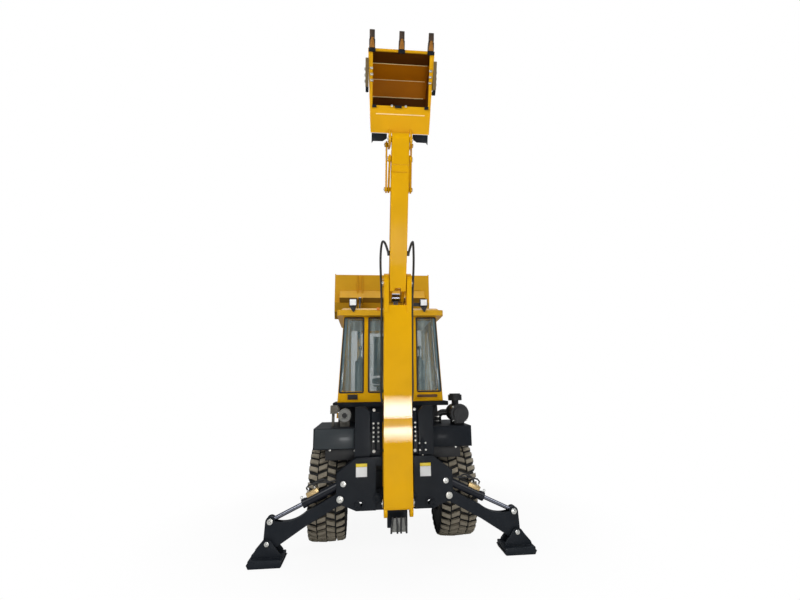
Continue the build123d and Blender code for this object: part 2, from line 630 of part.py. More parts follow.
def leaning_slab(points, side, depth, thickness, radius=0, gap=0):
    """Slab parallel to a leaning cab side, cut to a side outline, depth behind its outer face."""
    outer = cab_half_width(CAB_FLOOR_Z, depth)
    outer_top = cab_half_width(CAB_TOP_Z, depth)
    section = ((side * outer, CAB_FLOOR_Z), (side * outer_top, CAB_TOP_Z),
               (side * (outer_top - thickness), CAB_TOP_Z), (side * (outer - thickness), CAB_FLOOR_Z))
    back_plate(section, 0, CAB_FRONT_Y + 50)
    low = 450 if side > 0 else -760
    window = face_on(SIDE.offset(low), points, radius, gap)
    extrude(window, amount=310, mode=Mode.INTERSECT)


# Fixed glass, each pane in the middle of its wall
GLASS_DEPTH = (CAB_WALL - GLASS_T) / 2
side_panes = []
for side in SIDES:
    with BuildPart() as side_pane:
        leaning_slab(SIDE_PANE, side, GLASS_DEPTH, GLASS_T, radius=30, gap=SEAT_GAP)
    side_panes.append(side_pane.part)
with BuildPart() as cab_glass:
    for pane_solid in side_panes:
        add(pane_solid)
    for pane_from, pane_to in REAR_PANES:
        low_limit = cab_half_width(REAR_WINDOW_Z, 50)
        limit = cab_half_width(REAR_WINDOW_TOP_Z, 50)
        back_plate(((max(pane_from, -low_limit) + SEAT_GAP, REAR_WINDOW_Z + SEAT_GAP),
                    (min(pane_to, low_limit) - SEAT_GAP, REAR_WINDOW_Z + SEAT_GAP),
                    (min(pane_to, limit) - SEAT_GAP, REAR_WINDOW_TOP_Z - SEAT_GAP),
                    (max(pane_from, -limit) + SEAT_GAP, REAR_WINDOW_TOP_Z - SEAT_GAP)),
                   CAB_REAR_Y + GLASS_DEPTH, CAB_REAR_Y + GLASS_DEPTH + GLASS_T, radius=30)
    screen = (SCREEN_HALF_W - SEAT_GAP, 1290 + SEAT_GAP, 2600 - SEAT_GAP)
    with BuildSketch(SIDE.offset(-screen[0])) as pane:
        with BuildLine():
            Polyline((CAB_FRONT_Y - GLASS_DEPTH - GLASS_T, screen[1]), (CAB_FRONT_Y - GLASS_DEPTH, screen[1]),
                     (CAB_FRONT_Y - GLASS_DEPTH, WINDSCREEN_BEND_Z),
                     (WINDSCREEN_TOP_Y + 5 - GLASS_DEPTH, screen[2]),
                     (WINDSCREEN_TOP_Y + 5 - GLASS_DEPTH - GLASS_T, screen[2]),
                     (CAB_FRONT_Y - GLASS_DEPTH - GLASS_T, WINDSCREEN_BEND_Z), close=True)
        make_face()
    screen_solid = extrude(pane.sketch, amount=2 * screen[0], mode=Mode.PRIVATE)
    frame_face = face_on(BACK.offset(-CAB_FRONT_Y - 20), SCREEN_POINTS, radius=30, gap=SEAT_GAP)
    add(screen_solid & extrude(frame_face, amount=160, mode=Mode.PRIVATE))
cab_glass.part.label = "cab_glass"
export_step(cab_glass.part, "parts/cab_glass.step")

# Doors hinged at their rear edge on the leaning pillar: name, side
DOOR_WINDOWS = (((DOOR_REAR_Y + 70, DOOR_WAIST_Z + 40), (DOOR_FRONT_Y - 70, DOOR_WAIST_Z + 40),
                 (DOOR_FRONT_Y - 70, WINDSCREEN_BEND_Z), (DOOR_FRONT_Y - 128, DOOR_HEAD_Z - 70),
                 (DOOR_REAR_Y + 70, DOOR_HEAD_Z - 70)),
                ((DOOR_REAR_Y + 70, DOOR_SILL_Z + 80), (DOOR_FRONT_Y - 70, DOOR_SILL_Z + 80),
                 (DOOR_FRONT_Y - 70, DOOR_WAIST_Z - 40), (DOOR_REAR_Y + 70, DOOR_WAIST_Z - 40)))
for name, side in (("left", LEFT), ("right", RIGHT)):
    cuts = []
    panes = []
    for window in DOOR_WINDOWS:
        with BuildPart() as cut:
            leaning_slab(window, side, -5, CAB_WALL + 10, radius=30)
        cuts.append(cut.part)
        with BuildPart() as pane_part:
            leaning_slab(window, side, GLASS_DEPTH, GLASS_T, radius=30, gap=SEAT_GAP)
        panes.append(pane_part.part)
    with BuildPart() as door:
        leaning_slab(DOOR_POINTS, side, 0, CAB_WALL, gap=DOOR_GAP)
        for hole in cuts:
            add(hole, mode=Mode.SUBTRACT)
        for z in HINGE_HEIGHTS:
            x = side * (cab_half_width(z) + KNUCKLE_R + RUNNING_GAP)
            extrude(disc_on(knuckle_plane(side, z), (0, 0), KNUCKLE_R), amount=KNUCKLE_L / 2)
            block(sorted((x, x - side * (KNUCKLE_R + 8))), (DOOR_REAR_Y + DOOR_GAP, DOOR_REAR_Y + DOOR_GAP + 40),
                  (z + 4, z + KNUCKLE_L / 2 - 4))
            extrude(disc_on(knuckle_plane(side, z).offset(-5), (0, 0), KNUCKLE_PIN_R + SEAT_GAP),
                    amount=KNUCKLE_L, mode=Mode.SUBTRACT)
        grip_x = cab_half_width(DOOR_WAIST_Z)
        block(sorted((side * (grip_x - 10), side * (grip_x + 22))), (DOOR_FRONT_Y - 60, DOOR_FRONT_Y - 25),
              (DOOR_WAIST_Z - 60, DOOR_WAIST_Z + 60))
    door.part.label = "door_" + name
    export_step(door.part, "parts/door_" + name + ".step")
    with BuildPart() as door_glass:
        for pane_solid in panes:
            add(pane_solid)
    door_glass.part.label = "door_glass_" + name
    export_step(door_glass.part, "parts/door_glass_" + name + ".step")

# Seat, turned half-way between its two workplaces
SEAT_Y = 430
with BuildPart() as seat_base:
    block((-170, 170), (SEAT_Y - 170, SEAT_Y + 110), (CAB_DECK_Z + CAB_WALL + SEAT_GAP, CAB_DECK_Z + 190), 20)
    block((-215, 215), (SEAT_Y - 210, SEAT_Y + 120), (CAB_DECK_Z + 190, CAB_DECK_Z + 210), 20)
seat_base.part.label = "seat_base"
export_step(seat_base.part, "parts/seat_base.step")
with BuildPart() as seat_pads:
    block((-235, 235), (SEAT_Y - 190, SEAT_Y + 250), (CAB_DECK_Z + 210 + SEAT_GAP, CAB_DECK_Z + 320), 50)
    side_plate(((SEAT_Y - 190, CAB_DECK_Z + 322), (SEAT_Y - 80, CAB_DECK_Z + 322),
                (SEAT_Y - 140, CAB_DECK_Z + 860), (SEAT_Y - 230, CAB_DECK_Z + 860)), -225, 225, 25)
seat_pads.part.label = "seat_pads"
export_step(seat_pads.part, "parts/seat_pads.step")

# Steering console with its wheel, and the two backhoe lever stands
STEERING_Y = 960
STEERING_Z = 1960
with BuildPart() as controls:
    side_plate(((1010, CAB_FLOOR_Z + CAB_WALL + SEAT_GAP), (1125, CAB_FLOOR_Z + CAB_WALL + SEAT_GAP),
                (1080, 1820), (1020, 1820)), -110, 110)
    tilt = Plane(origin=yz((STEERING_Y + 60, STEERING_Z - 170)), z_dir=(0, -0.42, 1))
    extrude(disc_on(tilt, (0, 0), 22), amount=190)
    ring = Plane(origin=tilt.origin + tilt.z_dir * 180, x_dir=(1, 0, 0), z_dir=tilt.z_dir)
    with BuildSketch(ring) as wheel_rim:
        Circle(190)
        Circle(165, mode=Mode.SUBTRACT)
        for spoke in range(3):
            with Locations(Rot(0, 0, 90 + 120 * spoke) * Pos(90, 0)):
                Rectangle(180, 26)
        Circle(40)
    extrude(wheel_rim.sketch, amount=24)
    for side in SIDES:
        block(sorted((side * 330, side * 460)), (110, 220), (CAB_DECK_Z + CAB_WALL + SEAT_GAP, 2080), 20)
        upright_bar(side * 395, 165, 9, 2080, 2230)
        extrude(disc_on(TOP.offset(2230), (side * 395, 165), 20), amount=40)
controls.part.label = "controls"
export_step(controls.part, "parts/controls.step")

# Exhaust on the left box: silencer, upright pipe and outlet ring facing the rear
with BuildPart() as exhaust:
    long_bar(-565, 1420, 68, -330, -60)
    long_bar(-565, 1420, 75, -352, -322)
    long_bar(-565, 1420, 52, -360, -330, mode=Mode.SUBTRACT)
    block((-620, -510), (-290, -100), (FENDER_TOP_Z + SEAT_GAP, 1400))
    back_plate(((-735, 1438), (-660, 1438), (-630, 1490), (-660, 1530), (-735, 1530)), -300, -120)
    block((-720, -690), (-240, -180), (FENDER_TOP_Z + SEAT_GAP, 1445))
exhaust.part.label = "exhaust"
export_step(exhaust.part, "parts/exhaust.step")

# Air cleaner on the right box: canister, legs, pre-cleaner and duct
AIR_X = 805
AIR_Z = 1420
AIR_R = 105
with BuildPart() as air_cleaner:
    long_bar(AIR_X - 15, AIR_Z, AIR_R, -450, -70)
    long_bar(AIR_X - 15, AIR_Z, AIR_R + 7, -425, -410)
    long_bar(AIR_X - 15, AIR_Z, AIR_R - 25, -475, -70)
    for leg_y in (-390, -170):
        block((AIR_X - 75, AIR_X + 45), (leg_y, leg_y + 40), (FENDER_TOP_Z + SEAT_GAP, AIR_Z - 40))
    upright_bar(AIR_X - 30, -250, 42, AIR_Z, 1570)
    upright_bar(AIR_X - 30, -250, 82, 1567, 1635)
    upright_bar(AIR_X - 30, -250, 66, 1635, 1649)
    with BuildLine() as duct_line:
        FilletPolyline((AIR_X - 60, REAR_AXLE_Y - 100, AIR_Z), (AIR_X - 220, REAR_AXLE_Y - 100, AIR_Z),
                       (AIR_X - 220, REAR_AXLE_Y - 100, FENDER_TOP_Z + SEAT_GAP), radius=62)
    with BuildSketch(duct_line.line ^ 0):
        Circle(38)
    sweep(path=duct_line.line)
air_cleaner.part.label = "air_cleaner"
export_step(air_cleaner.part, "parts/air_cleaner.step")

# Work lamps on brackets at the roof's rear and front edges: x, y of the roof's edge, facing
LAMPS = ((-493, ROOF_REAR_Y, LEFT), (437, ROOF_REAR_Y, LEFT), (-560, ROOF_FRONT_Y, RIGHT),
         (560, ROOF_FRONT_Y, RIGHT))
LAMP_Z = 2775
with BuildPart() as work_lamps:
    for lamp_x, edge_y, facing in LAMPS:
        block((lamp_x - 50, lamp_x + 50), sorted((edge_y + facing * 20, edge_y - facing * 40)),
              (LAMP_Z, LAMP_Z + 98), 8)
        block((lamp_x - 42, lamp_x + 42), sorted((edge_y + facing * 20, edge_y + facing * 28)),
              (LAMP_Z + 8, LAMP_Z + 90))
        block((lamp_x - 16, lamp_x + 16), sorted((edge_y - facing * 4, edge_y - facing * 26)),
              (CAB_TOP_Z + ROOF_EDGE_H + SEAT_GAP, LAMP_Z))
work_lamps.part.label = "work_lamps"
export_step(work_lamps.part, "parts/work_lamps.step")

# Backhoe frame: paired leg plates, uprights, cross tubes and swing carriers
LEG_REAR_Y = LEG_Y - LEG_PLATE_GAP / 2
LEG_FRONT_Y = LEG_Y + LEG_PLATE_GAP / 2
LEG_PLATE = ((205, 1000), (410, 1000), (564 + 60, 846), (564 + 60, 560), (412, 470), (205, 470))
UPRIGHT = ((UPRIGHT_X, 1000), (UPRIGHT_OUT_X, 1000), (UPRIGHT_OUT_X, UPRIGHT_TOP_Z),
           (UPRIGHT_X + 50, UPRIGHT_TOP_Z), (UPRIGHT_X, UPRIGHT_TOP_Z - 60))
CARRIERS = ((CARRIER_LOW_Z, CARRIER_LOW_T), (CARRIER_TOP_Z, CARRIER_TOP_T))
with BuildPart() as backhoe_frame:
    for side in SIDES:
        for y_low in (LEG_REAR_Y - LEG_PLATE_T, LEG_FRONT_Y):
            back_plate([(side * x, z) for x, z in LEG_PLATE], y_low, y_low + LEG_PLATE_T)
            for point, radius in ((LEG_PIVOT, 34), (LEG_RAM_BASE, 28)):
                long_bar(side * point[0], point[1], radius, y_low, y_low + LEG_PLATE_T)
        for point, radius, span in ((LEG_PIVOT, 34, LEG_W), (LEG_RAM_BASE, 28, LEG_RAM.eye_width)):
            for end in (-1, 1):
                inner_y = LEG_Y + end * (span / 2 + RUNNING_GAP)
                long_bar(side * point[0], point[1], radius, inner_y, LEG_Y + end * (LEG_PLATE_GAP / 2 + 27))
        for point, radius in ((LEG_PIVOT, LEG_PIN_R), (LEG_RAM_BASE, LEG_RAM.pin_r)):
            long_bar(side * point[0], point[1], radius, LEG_REAR_Y, LEG_FRONT_Y)
        block(sorted((side * 205, side * 260)), (LEG_REAR_Y, LEG_FRONT_Y), (470, 1000))
        back_plate([(side * x, z) for x, z in UPRIGHT], LEG_FRONT_Y - 60, LEG_FRONT_Y + LEG_PLATE_T)
        long_bar(side * 370, 535, 45, LEG_REAR_Y - LEG_PLATE_T - 8, LEG_FRONT_Y)
        block(sorted((side * 205, side * RAIL_X)), (LEG_FRONT_Y, RAIL_REAR_Y - SEAT_GAP), (640, 860))
    for z_low, height in ((470, 90), (910, 90)):
        block((-205, 205), (LEG_REAR_Y, LEG_FRONT_Y + LEG_PLATE_T), (z_low, z_low + height))
    block((-UPRIGHT_X, UPRIGHT_X), (LEG_FRONT_Y, LEG_FRONT_Y + LEG_PLATE_T), (1000, 1240))
    for z_low, height in CARRIERS:
        block((-CARRIER_R, CARRIER_R), (SWING_Y, LEG_REAR_Y), (z_low, z_low + height))
        upright_bar(0, SWING_Y, CARRIER_R, z_low, z_low + height)
    block((-CARRIER_R, CARRIER_R), (LEG_REAR_Y - 5, LEG_REAR_Y + 5), (CARRIER_LOW_Z, 560))
    block((-CARRIER_R, CARRIER_R), (LEG_REAR_Y, LEG_REAR_Y + 20), (CARRIER_TOP_Z, 1000))
    for side in SIDES:
        long_bar(side * 370, 535, TIE_BORE_R, LEG_REAR_Y - 100, LEG_FRONT_Y + 60, mode=Mode.SUBTRACT)
    upright_bar(0, SWING_Y, SWING_PIN_R + RUNNING_GAP, CARRIER_LOW_Z - 10, CARRIER_TOP_Z + 100,
                mode=Mode.SUBTRACT)
backhoe_frame.part.label = "backhoe_frame"
export_step(backhoe_frame.part, "parts/backhoe_frame.step")

# Stabilisers: name, side. Leg, foot pad, cylinder barrel and rod
PAD_Z = PAD_T
for name, side in (("left", LEFT), ("right", RIGHT)):
    pivot = (side * LEG_PIVOT[0], LEG_PIVOT[1])
    knee = (side * LEG_KNEE[0], LEG_KNEE[1])
    foot = (side * LEG_FOOT[0], LEG_FOOT[1])
    leg_front = BACK.offset(-(LEG_Y + LEG_W / 2))
    with BuildPart() as leg:
        with BuildSketch(leg_front) as blade:
            with BuildLine():
                Polyline((side * 600, 520), (side * 930, 340), (side * 1230, 150), (side * 1345, 150),
                         (side * 1350, 240), (side * 1342, 400))
                Line((side * 1342, 400), (side * 1245, 400))
                ThreePointArc((side * 1245, 400), (side * 1090, 395), (side * 940, 468))
                Line((side * 940, 468), (side * 620, 640))
                Line((side * 620, 640), (side * 600, 520))
            make_face()
        extrude(blade.sketch, amount=LEG_W)
        extrude(disc_on(leg_front, pivot, 68), amount=LEG_W)
        extrude(disc_on(leg_front, knee, 48), amount=LEG_W)
        extrude(disc_on(leg_front, foot, 50), amount=LEG_W)
        fork = [(side * x, z) for x, z in ((1150, 480), (1360, 480), (1360, 345), (1250, 345), (1150, 395))]
        back_plate(fork, LEG_Y - LEG_FORK_GAP / 2, LEG_Y + LEG_FORK_GAP / 2, mode=Mode.SUBTRACT)
        for point, radius in ((pivot, LEG_PIN_R), (foot, PAD_PIN_R)):
            extrude(disc_on(leg_front.offset(-5), point, radius + RUNNING_GAP), amount=LEG_W + 10,
                    mode=Mode.SUBTRACT)
    leg.part.label = "stabiliser_leg_" + name
    export_step(leg.part, "parts/stabiliser_leg_" + name + ".step")
    with BuildPart() as pad:
        sole = ((foot[0] - PAD_HALF_L, 0), (foot[0] + PAD_HALF_L, 0), (foot[0] + PAD_HALF_L + 22, 38),
                (foot[0] + PAD_HALF_L, 38), (foot[0] + PAD_HALF_L - 18, PAD_T),
                (foot[0] - PAD_HALF_L + 18, PAD_T), (foot[0] - PAD_HALF_L, 38), (foot[0] - PAD_HALF_L - 22, 38))
        back_plate(sole, LEG_Y - PAD_W / 2, LEG_Y + PAD_W / 2)
        for end in (-1, 1):
            inner = LEG_Y + end * (LEG_W / 2 + MOVING_GAP)
            outer = inner + end * LEG_PLATE_T
            ear = BACK.offset(-max(inner, outer))
            extrude(hull_on(ear, ((foot[0], foot[1], 42), (foot[0] - 80, PAD_T + 12, 20),
                                  (foot[0] + 80, PAD_T + 12, 20))), amount=LEG_PLATE_T)
            long_bar(foot[0], foot[1], 30, outer, outer + end * 9)
        long_bar(foot[0], foot[1], PAD_PIN_R, LEG_Y - LEG_W / 2 - MOVING_GAP, LEG_Y + LEG_W / 2 + MOVING_GAP)
    pad.part.label = "stabiliser_pad_" + name
    export_step(pad.part, "parts/stabiliser_pad_" + name + ".step")
    base_pin = Vector(side * LEG_RAM_BASE[0], REAR_AXLE_Y + LEG_Y, LEG_RAM_BASE[1])
    eye_pin = Vector(knee[0], REAR_AXLE_Y + LEG_Y, knee[1])
    with BuildPart() as leg_barrel:
        add(ram_barrel(base_pin, eye_pin, Vector(0, 1, 0), LEG_RAM))
        axis = (eye_pin - base_pin).normalized()
        valve = Plane(origin=base_pin + axis * 330, x_dir=(0, 1, 0), z_dir=Vector(-axis.Z, 0, axis.X) * side)
        with BuildSketch(valve.offset(LEG_RAM.barrel_r - 8)):
            Rectangle(56, 130)
        extrude(amount=46)
    leg_barrel.part.label = "stabiliser_barrel_" + name
    export_step(leg_barrel.part, "parts/stabiliser_barrel_" + name + ".step")
    leg_rod = ram_rod(base_pin, eye_pin, Vector(0, 1, 0), LEG_RAM)
    leg_rod.label = "stabiliser_rod_" + name
    export_step(leg_rod, "parts/stabiliser_rod_" + name + ".step")

# Swing post: knuckles round the carriers, spine behind them, ears for the boom and its cylinder
with BuildPart() as swing_post:
    spine_rear = POST_SPINE_Y - POST_SPINE_T
    block((-POST_HALF_W, POST_HALF_W), (spine_rear, POST_SPINE_Y), (POST_BOTTOM_Z, POST_TOP_Z), radius=12)
    levels = ((POST_BOTTOM_Z, CARRIER_LOW_Z - 4), (CARRIER_LOW_Z + CARRIER_LOW_T + 4, CARRIER_TOP_Z - 4),
              (CARRIER_TOP_Z + CARRIER_TOP_T + 4, POST_TOP_Z))
    for z_low, z_high in levels:
        extrude(hull_on(TOP.offset(z_low), ((0, SWING_Y, CARRIER_R - 8), (-60, POST_SPINE_Y - 20, 22),
                                            (60, POST_SPINE_Y - 20, 22))), amount=z_high - z_low)
    upright_bar(0, SWING_Y, SWING_PIN_R, POST_BOTTOM_Z, POST_TOP_Z)
    upright_bar(0, SWING_Y, SWING_PIN_R + 14, POST_TOP_Z, POST_TOP_Z + 14)
    side_hull(((BOOM_FOOT[0], BOOM_FOOT[1], 62), (spine_rear + 20, 640, 50), (spine_rear + 20, 690, 50)),
              -POST_HALF_W, POST_HALF_W)
    foot_end = BOOM_HALF_W + 8
    cross_bar(BOOM_FOOT, 30, -foot_end, foot_end)
    ear_x = BOOM_RAM.barrel_r + 7
    for side in SIDES:
        side_hull(((BOOM_RAM_BASE[0], BOOM_RAM_BASE[1], 46), (POST_SPINE_Y - 15, POST_TOP_Z - 20, 20),
                   (SWING_Y - 30, POST_TOP_Z - 20, 20)), side * ear_x, side * (ear_x + 24))
    cross_bar(BOOM_RAM_BASE, BOOM_RAM.pin_r, -ear_x - 30, ear_x + 30)
swing_post.part.label = "swing_post"
export_step(swing_post.part, "parts/swing_post.step")

# Boom: bent box with an open fork at its foot and ears at its tip
boom_side = BOOM_HALF_W - BOOM_EAR_T


def boom_edge(sign):
    """Points of the boom's front (+1) or rear (-1) edge from foot to notch."""
    notch = between(BOOM_KNEE, BOOM_TIP, (BOOM_NOTCH_Z - BOOM_KNEE[1]) / (BOOM_TIP[1] - BOOM_KNEE[1]))
    return ((BOOM_FOOT[0] + sign * BOOM_FOOT_DEPTH / 2, BOOM_FOOT[1]),
            (BOOM_KNEE[0] + sign * BOOM_KNEE_DEPTH / 2, BOOM_KNEE[1]),
            (notch[0] + sign * BOOM_TIP_DEPTH / 2, notch[1]))


FRONT_EDGE = boom_edge(1)
REAR_EDGE = boom_edge(-1)
with BuildPart() as boom:
    outline = (REAR_EDGE[0], REAR_EDGE[1], REAR_EDGE[2], FRONT_EDGE[2], FRONT_EDGE[1], FRONT_EDGE[0])
    side_plate(outline, -BOOM_HALF_W, BOOM_HALF_W)
    knee_edges = boom.edges().filter_by(Axis.X).filter_by_position(Axis.Z, BOOM_KNEE[1] - 1, BOOM_KNEE[1] + 1)
    fillet(knee_edges, BOOM_BEND_R)
    side_hull(((BOOM_FOOT[0], BOOM_FOOT[1], BOOM_FOOT_DEPTH / 2), (BOOM_FOOT[0] - 25, BOOM_FOOT[1] - 60, 60)),
              -BOOM_HALF_W, BOOM_HALF_W)
    for side in SIDES:
        side_hull(((BOOM_TIP[0], BOOM_TIP[1], BOOM_BOSS_R), (REAR_EDGE[2][0] + 40, REAR_EDGE[2][1] - 60, 38),
                   (FRONT_EDGE[2][0] - 40, FRONT_EDGE[2][1] - 60, 38)), side * boom_side, side * BOOM_HALF_W)
        cross_bar(BOOM_TIP, 46, side * BOOM_HALF_W, side * (BOOM_HALF_W + 8))
        lug_x = BOOM_RAM.barrel_r + 7
        side_hull(((BOOM_RAM_LUG[0], BOOM_RAM_LUG[1], 46), (DIPPER_RAM_BASE[0], DIPPER_RAM_BASE[1], 44),
                   (BOOM_KNEE[0] + 60, 1640, 40), (BOOM_KNEE[0] - 20, 2180, 40)),
                  side * lug_x, side * (lug_x + 20))
        cross_bar(BOOM_RAM_LUG, 34, side * lug_x, side * (lug_x + 28))
    cross_bar(BOOM_TIP, 38, -BOOM_HALF_W, BOOM_HALF_W)
    cross_bar(DIPPER_RAM_BASE, DIPPER_RAM.pin_r, -lug_x - 28, lug_x + 28)
    fork = POST_HALF_W + MOVING_GAP
    block((-fork, fork), (BOOM_FOOT[0] - 78, BOOM_FOOT[0] + 200), (500, BOOM_FORK_Z), mode=Mode.SUBTRACT)
    block((-fork, fork), (BOOM_FOOT[0] - 200, BOOM_FOOT[0] - 70), (480, 600), mode=Mode.SUBTRACT)
    cross_bar(BOOM_FOOT, 30 + RUNNING_GAP, -BOOM_HALF_W - 5, BOOM_HALF_W + 5, mode=Mode.SUBTRACT)
boom.part.label = "boom"
export_step(boom.part, "parts/boom.step")

# Dipper, drawn in its own frame: u along it from the boom tip, v forward of it
DIPPER = Plane(origin=yz(BOOM_TIP), x_dir=(0, -sin(radians(DIPPER_LEAN)), cos(radians(DIPPER_LEAN))),
               z_dir=(-1, 0, 0))


def dipper_point(u, v):
    """(y, z) of a point along (u) and forward of (v) the dipper's axis."""
    lean = radians(DIPPER_LEAN)
    return (BOOM_TIP[0] - u * sin(lean) + v * cos(lean), BOOM_TIP[1] + u * cos(lean) + v * sin(lean))


def dipper_hull(discs, x_from, x_to, mode=Mode.ADD):
    """Plate wrapped round discs (u, v, radius) of the dipper, between two X values."""
    side_hull([(*dipper_point(u, v), radius) for u, v, radius in discs], x_from, x_to, mode)


BUCKET_PIVOT = dipper_point(DIPPER_LENGTH, 0)
LEVER_PIVOT_U = DIPPER_LENGTH + LEVER_PIVOT[0]
with BuildPart() as dipper:
    beam = ((-70, -92), (200, -95), (DIPPER_LENGTH - 60, -DIPPER_TIP_R + 2), (DIPPER_LENGTH - 60, DIPPER_TIP_R - 2),
            (420, 96), (40, 110), (-60, 105))
    side_plate([dipper_point(u, v) for u, v in beam], -DIPPER_HALF_W, DIPPER_HALF_W)
    dipper_hull(((DIPPER_LENGTH, 0, DIPPER_TIP_R), (DIPPER_LENGTH - 90, 0, DIPPER_TIP_R - 2)),
                -DIPPER_HALF_W, DIPPER_HALF_W)
    dipper_hull(((0, 0, 90), (10, 20, 88)), -DIPPER_HALF_W, DIPPER_HALF_W)
    for side in SIDES:
        tail_x = DIPPER_RAM.barrel_r + 7
        dipper_hull(((*DIPPER_TAIL, 52), (0, 10, 80), (160, 70, 30)), side * tail_x, side * DIPPER_HALF_W)
        lug_x = BUCKET_RAM.barrel_r + 7
        dipper_hull(((*BUCKET_RAM_BASE, 42), (110, 60, 40), (330, 60, 30)), side * lug_x, side * (lug_x + 18))
    cross_bar(dipper_point(*BUCKET_RAM_BASE), BUCKET_RAM.pin_r, -lug_x - 26, lug_x + 26)
    cross_bar(dipper_point(LEVER_PIVOT_U, 0), 26, -LEVER_X - LEVER_T - 10, LEVER_X + LEVER_T + 10)
    cross_bar(BUCKET_PIVOT, 28, -BUCKET_EAR_X - BUCKET_EAR_T - 4, BUCKET_EAR_X + BUCKET_EAR_T + 4)
    cross_bar(BOOM_TIP, 38 + RUNNING_GAP, -DIPPER_HALF_W - 5, DIPPER_HALF_W + 5, mode=Mode.SUBTRACT)
    rod_slot = ((-14, -137), (-107, 74), (-200, 74), (-200, -137))
    slot_x = DIPPER_RAM.rod_r + MOVING_GAP
    side_plate([dipper_point(u, v) for u, v in rod_slot], -slot_x, slot_x, mode=Mode.SUBTRACT)
dipper.part.label = "dipper"
export_step(dipper.part, "parts/dipper.step")


def bucket_point(u, v):
    """(y, z) of a point of the digging bucket, from its hinge pin."""
    return dipper_point(DIPPER_LENGTH + u, v)


# Tipping levers and bucket link
with BuildPart() as tipping_levers:
    for side in SIDES:
        x_in, x_out = side * LEVER_X, side * (LEVER_X + LEVER_T)
        side_hull([(*bucket_point(*LEVER_PIVOT), 42), (*bucket_point(*LEVER_END), 38)], x_in, x_out)
        cross_bar(bucket_point(*LEVER_PIVOT), 26 + RUNNING_GAP, x_in - side * 5, x_out + side * 5, mode=Mode.SUBTRACT)
        cross_bar(bucket_point(*LEVER_END), 22, side * (BUCKET_RAM.eye_width / 2 + 4), side * (LINK_X + LINK_T + 8))
tipping_levers.part.label = "tipping_levers"
export_step(tipping_levers.part, "parts/tipping_levers.step")
with BuildPart() as bucket_link:
    for side in SIDES:
        x_in, x_out = side * LINK_X, side * (LINK_X + LINK_T)
        side_hull([(*bucket_point(*LEVER_END), 38), (*bucket_point(*BUCKET_LINK_PIN), 38)], x_in, x_out)
        cross_bar(bucket_point(*BUCKET_LINK_PIN), 22, x_out, x_out + side * 8)
        cross_bar(bucket_point(*LEVER_END), 22 + RUNNING_GAP, x_in - side * 5, x_out + side * 5, mode=Mode.SUBTRACT)
bucket_link.part.label = "bucket_link"
export_step(bucket_link.part, "parts/bucket_link.step")

# Digging bucket: bent back plate, flaring side walls, ears, lip
DIG_OUTLINE = ((DIG_APRON_E, DIG_MOUTH + 14), (DIG_APRON_BEND_E, DIG_MOUTH), (DIG_FOOT_E, DIG_MOUTH),
               (150, 300), (290, 430), (480, 480), (650, 430), (770, 270), (DIG_LIP_E, DIG_MOUTH))


def dig_section(inset, plane_x):
    """Side face of the bucket, inset from its outline, on a plane of constant X."""
    with BuildSketch(SIDE.offset(plane_x)) as sketch:
        with BuildLine():
            Polyline(*[bucket_point(u, v) for u, v in DIG_OUTLINE], close=True)
        make_face()
        if inset:
            offset(amount=-inset, kind=Kind.INTERSECTION)
    return sketch.sketch


with BuildPart() as dig_bucket:
    extrude(dig_section(0, -DIG_LIP_HALF_W), amount=2 * DIG_LIP_HALF_W)
    flare = [(-DIG_HALF_W, DIG_FOOT_E - 40), (DIG_HALF_W, DIG_FOOT_E - 40), (DIG_LIP_HALF_W, DIG_LIP_E + 20),
             (-DIG_LIP_HALF_W, DIG_LIP_E + 20)]
    mouth_plane = Plane(origin=yz(BUCKET_PIVOT), x_dir=(1, 0, 0), z_dir=DIPPER.y_dir)
    flare_face = face_on(mouth_plane, [(x, -u) if mouth_plane.y_dir.dot(DIPPER.x_dir) < 0 else (x, u)
                                       for x, u in flare])
    extrude(flare_face, amount=700, mode=Mode.INTERSECT)
    room = extrude(dig_section(DIG_PLATE_T, -DIG_LIP_HALF_W), amount=2 * DIG_LIP_HALF_W, mode=Mode.PRIVATE)
    lean_room = [(-DIG_HALF_W + DIG_PLATE_T, 0), (DIG_HALF_W - DIG_PLATE_T, 0),
                 (DIG_LIP_HALF_W - DIG_PLATE_T, DIG_LIP_E + 60), (-DIG_LIP_HALF_W + DIG_PLATE_T, DIG_LIP_E + 60)]
    room_face = face_on(mouth_plane, [(x, -u) if mouth_plane.y_dir.dot(DIPPER.x_dir) < 0 else (x, u)
                                      for x, u in lean_room])
    room_sides = extrude(room_face, amount=700, mode=Mode.PRIVATE)
    add(room & room_sides, mode=Mode.SUBTRACT)
    mouth = ((DIG_APRON_E, DIG_MOUTH - 20), (DIG_LIP_E - DIG_LIP_T, DIG_MOUTH - 20),
             (DIG_LIP_E - DIG_LIP_T, DIG_MOUTH + DIG_PLATE_T + 30), (DIG_APRON_E, DIG_MOUTH + DIG_PLATE_T + 30))
    mouth_face = face_on(SIDE.offset(-DIG_HALF_W + DIG_PLATE_T), [bucket_point(u, v) for u, v in mouth])
    mouth_solid = extrude(mouth_face, amount=2 * (DIG_HALF_W - DIG_PLATE_T), mode=Mode.PRIVATE)
    add(mouth_solid, mode=Mode.SUBTRACT)
    for side in SIDES:
        x_in, x_out = side * BUCKET_EAR_X, side * (BUCKET_EAR_X + BUCKET_EAR_T)
        side_hull([(*bucket_point(0, 0), 58), (*bucket_point(DIG_FOOT_E + 30, DIG_MOUTH + 40), 30),
                   (*bucket_point(150, 240), 36), (*bucket_point(*BUCKET_LINK_PIN), 44)], x_in, x_out)
        cross_bar(bucket_point(*BUCKET_LINK_PIN), 22, x_in - side * 8, side * (LINK_X - 1.5))
        cross_bar(bucket_point(0, 0), 28 + RUNNING_GAP, x_in - side * 5, x_out + side * 5, mode=Mode.SUBTRACT)
dig_bucket.part.label = "dig_bucket"
